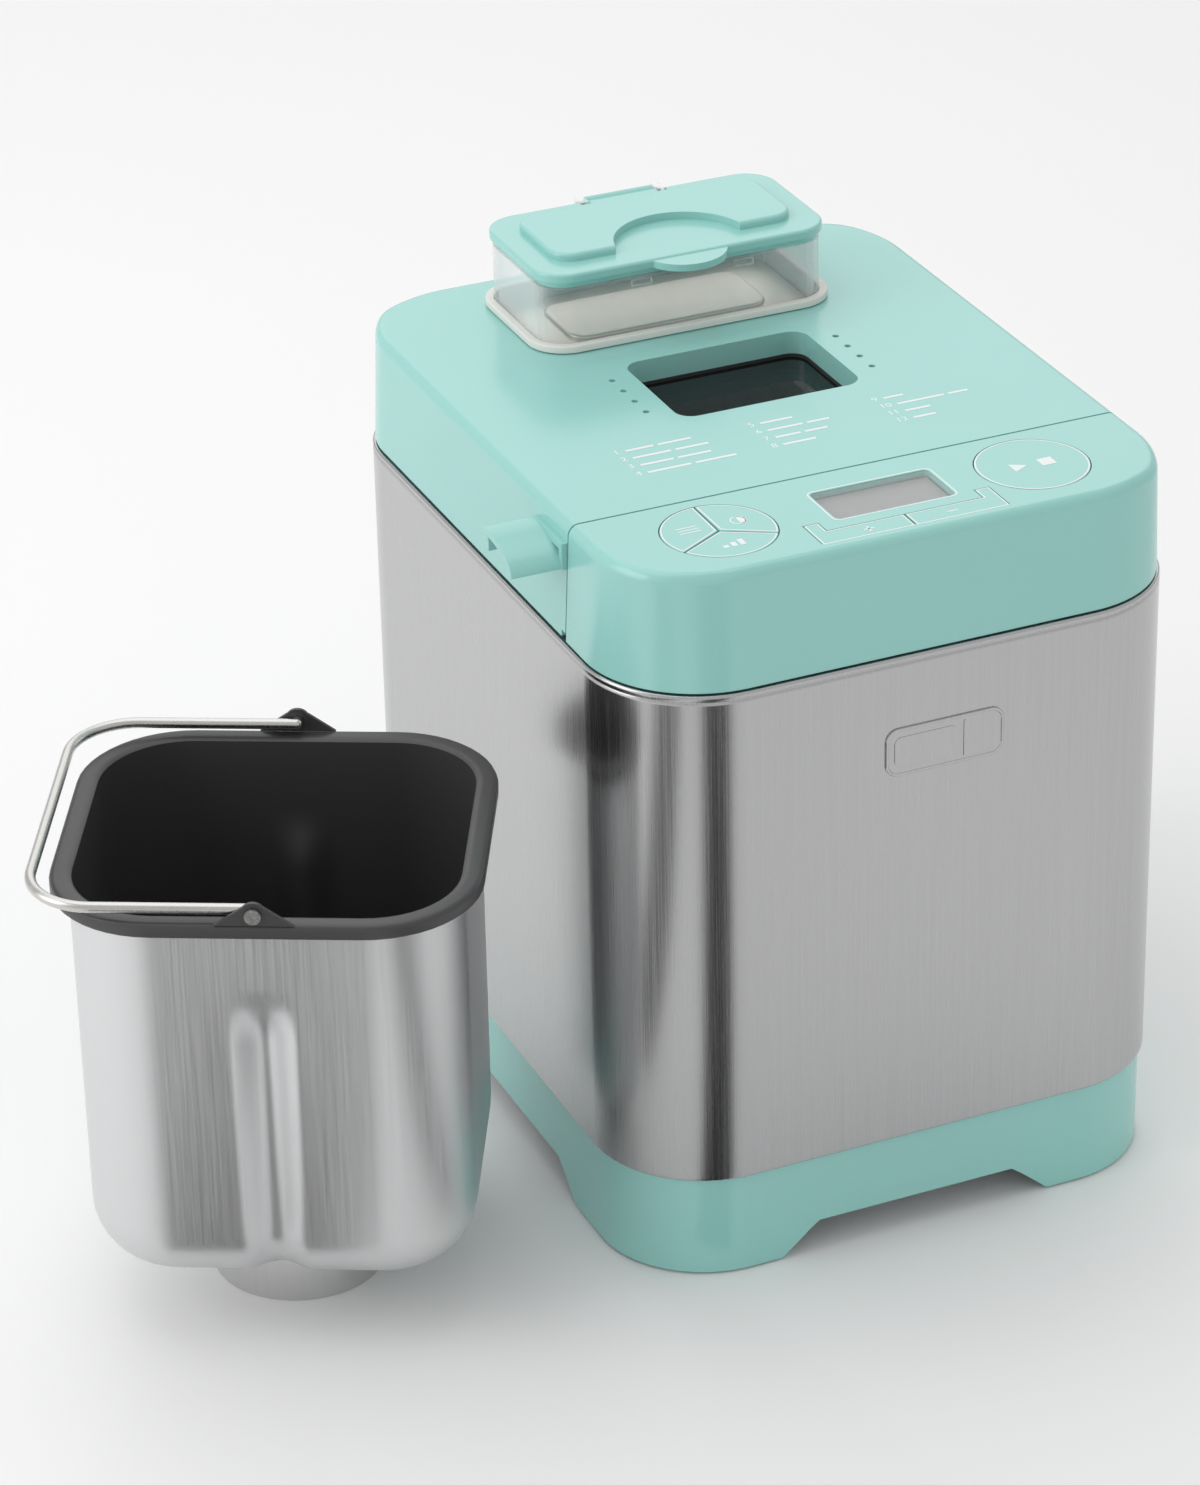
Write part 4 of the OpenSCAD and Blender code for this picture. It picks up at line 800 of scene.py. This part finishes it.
# ---- Display ----
# A grey liquid crystal panel behind a clear lens, with a white printed line round its opening.
lens_low, lens_high = [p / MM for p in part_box("display_lens")]
lens_at = (lens_low + lens_high) / 2
edge = outline(lens_high.x - lens_low.x + 2, lens_high.y - lens_low.y + 2, 2.8, 0,
               lens_at.x, lens_at.y, 6)
border_line = stripe([(p.x / MM, p.y / MM) for p in edge], line)
finish_mesh("display_line", flat_mark(border_line, lid_top), ink, "machine")
lens_plastic = plastic("lens_plastic", (0.9, 0.92, 0.92), 0.05, grain=0.0, flow=0.01)
lens_plastic.node_tree.nodes["Principled BSDF"].inputs["Alpha"].default_value = 0.15
give(lens_plastic, "display_lens")

# ---- Ingredient dispenser ----
# A clear moulded box on an off-white seat that drops into the lid. Its floor is a satin metal flap
# on a pin, and its aqua cover turns on a second pin held by two ears at the back.


def clear_moulding(name, through, edge):
    """Clear plastic: see-through when faced squarely, whiter where the wall is seen along."""
    m = plastic(name, (0.92, 0.95, 0.95), 0.05, grain=0.0, flow=0.01)
    t = m.node_tree
    slant = t.nodes.new("ShaderNodeLayerWeight")
    slant.inputs["Blend"].default_value = 0.4
    weight = t.nodes.new("ShaderNodeMapRange")
    weight.inputs["To Min"].default_value = through
    weight.inputs["To Max"].default_value = edge
    t.links.new(slant.outputs["Facing"], weight.inputs["Value"])
    t.links.new(weight.outputs["Result"], t.nodes["Principled BSDF"].inputs["Alpha"])
    return m


box_plastic = clear_moulding("clear_plastic", 0.08, 0.7)
seat_flange = plastic("seat_flange", (0.80, 0.79, 0.75), 0.45)
flap_metal = brushed("flap_metal", (0.66, 0.63, 0.57), 0.35, (1200, 20, 1200), 0.06, 0.05)
give(box_plastic, "dispenser_box")
give(satin_wire, "dispenser_hinge_pin", "flap_pin")
finish_mesh("dispenser_seat", moulding("dispenser_flange", soft_edge), seat_flange, "dispenser",
            ["dispenser_flange"])
finish_mesh("cover_moulding", moulding("dispenser_cover", soft_edge), aqua, "cover",
            ["dispenser_cover"])
finish_mesh("flap_plate", moulding("trap_flap", fine_edge), flap_metal, "flap",
            ["trap_flap"])

# ---- Bread pan ----
# Drawn from aluminium sheet, with a rib pressed into the front and back walls and the rim rolled
# down all round. The inside and the rim have a dark nonstick coat. A satin collar is riveted below.
pan_low, pan_high = [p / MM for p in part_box("pan_shell")]
shaft_low, shaft_high = [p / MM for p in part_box("pan_shaft")]
pan_x, pan_y = (shaft_low.x + shaft_high.x) / 2, (shaft_low.y + shaft_high.y) / 2
swing = next(j for j in frame["record"]["behaviour"]["joints"] if j["name"] == "bail_swing")
pan_turn = math.atan2(swing["axis"][1], swing["axis"][0]) - math.pi / 2
rim_w, rim_d, rim_r, rim_lip, pan_edge = 153, 143, 40, 6.5, 24
rib_half, rib_depth, rib_top, rib_fade = 13, 5.8, 152, 22
wall_steps = (36, 50, 65, 80, 95, 104, 108, 112, 116, 120, 124, 128, 136, 144, 150)
bottom, rim_top = pan_low.z, pan_high.z


def pan_loop(inset, z):
    """The pan's outline at a height, inset from the rim, with the pressed rib in two sides."""
    w, d, r = rim_w - 2 * inset, rim_d - 2 * inset, rim_r - inset
    t = max(0, min(1, (rib_top - z) / rib_fade))
    press = rib_depth * t * t * (3 - 2 * t)
    points = []
    for k, (sx, sy) in enumerate(((1, 1), (-1, 1), (-1, -1), (1, -1))):
        for i in range(13):
            a = math.radians(90 * k + 7.5 * i)
            points.append((sx * (w / 2 - r) + r * math.cos(a), sy * (d / 2 - r) + r * math.sin(a)))
        for i in range(1, 30) if k in (0, 2) else ():
            x = sx * (rib_half + 3) * (1 - i / 15)
            across = 0.5 + 0.5 * math.cos(math.pi * min(1, abs(x) / rib_half))
            points.append((x, sy * (d / 2 - press * across)))
    c, s = math.cos(pan_turn), math.sin(pan_turn)
    return [Vector((pan_x + c * x - s * y, pan_y + s * x + c * y, z)) * MM for x, y in points]


def pan_wall(depth):
    """Heights and insets from the floor up to the rim, for a surface at a depth in the wall."""
    turn = pan_edge - depth
    rounded = [(rim_lip + pan_edge - turn * math.sin(a), bottom + pan_edge - turn * math.cos(a))
               for a in [math.radians(k) for k in range(0, 91, 9)]]
    return rounded + [(rim_lip + depth, bottom + h) for h in wall_steps]


metal_path = pan_wall(0) + [(rim_lip - 0.1, rim_top - 5), (6, rim_top - 3.4), (5, rim_top - 2.2),
                            (3.6, rim_top - 1.8), (1.3, rim_top - 1.8), (1.3, rim_top - 1.3),
                            (6.6, rim_top - 1.3), (7.4, rim_top - 1.9)] + pan_wall(1.1)[::-1]
coat_path = pan_wall(1.0) + [(7.3, rim_top - 2), (6.4, rim_top - 1.4), (2, rim_top - 1.4),
                             (1.5, rim_top - 1.8), (1.4, rim_top - 5), (1.1, rim_top - 5.3),
                             (0.4, rim_top - 5.3), (0.05, rim_top - 4.9), (0, rim_top - 4.4),
                             (0, rim_top - 1.6), (0.35, rim_top - 0.7), (1.1, rim_top - 0.15),
                             (2.2, rim_top), (5.2, rim_top), (6.8, rim_top - 0.25),
                             (7.9, rim_top - 1)] + pan_wall(1.6)[::-1]
pan_aluminium = brushed("pan_aluminium", (0.70, 0.705, 0.71), 0.40, (2400, 2400, 20), 0.004,
                        0.015)
nonstick = plastic("nonstick", (0.055, 0.053, 0.055), 0.38, grain=0.08, flow=0.15)
finish_mesh("pan_drawing", skin([pan_loop(i, z) for i, z in metal_path]), pan_aluminium, "pan",
            ["pan_shell"], smooth=60)
finish_mesh("pan_coating", skin([pan_loop(i, z) for i, z in coat_path]), nonstick, "pan",
            smooth=50)
collar_metal = brushed("collar_metal", (0.66, 0.66, 0.66), 0.22, (500, 500, 14), 0.03, 0.03)
finish_mesh("collar_ring", moulding("pan_collar", 0.0005), collar_metal, "pan",
            ["pan_collar"])
finish_mesh("handle_lugs", moulding("pan_lugs", fine_edge), nonstick, "pan",
            ["pan_lugs"])
give(satin_wire, "pan_handle")
give(brass, "pan_bush")

# ---- Kneading paddle ----
# A cast paddle with a nonstick coat drops on the flat of a turned steel shaft. Below the pan the
# shaft carries a winged coupling that the drive picks up.
give(satin_wire, "pan_shaft")
give(cast_metal, "wing_coupling")
finish_mesh("paddle_casting", moulding("kneading_paddle", 0.0005), nonstick, "paddle",
            ["kneading_paddle"])
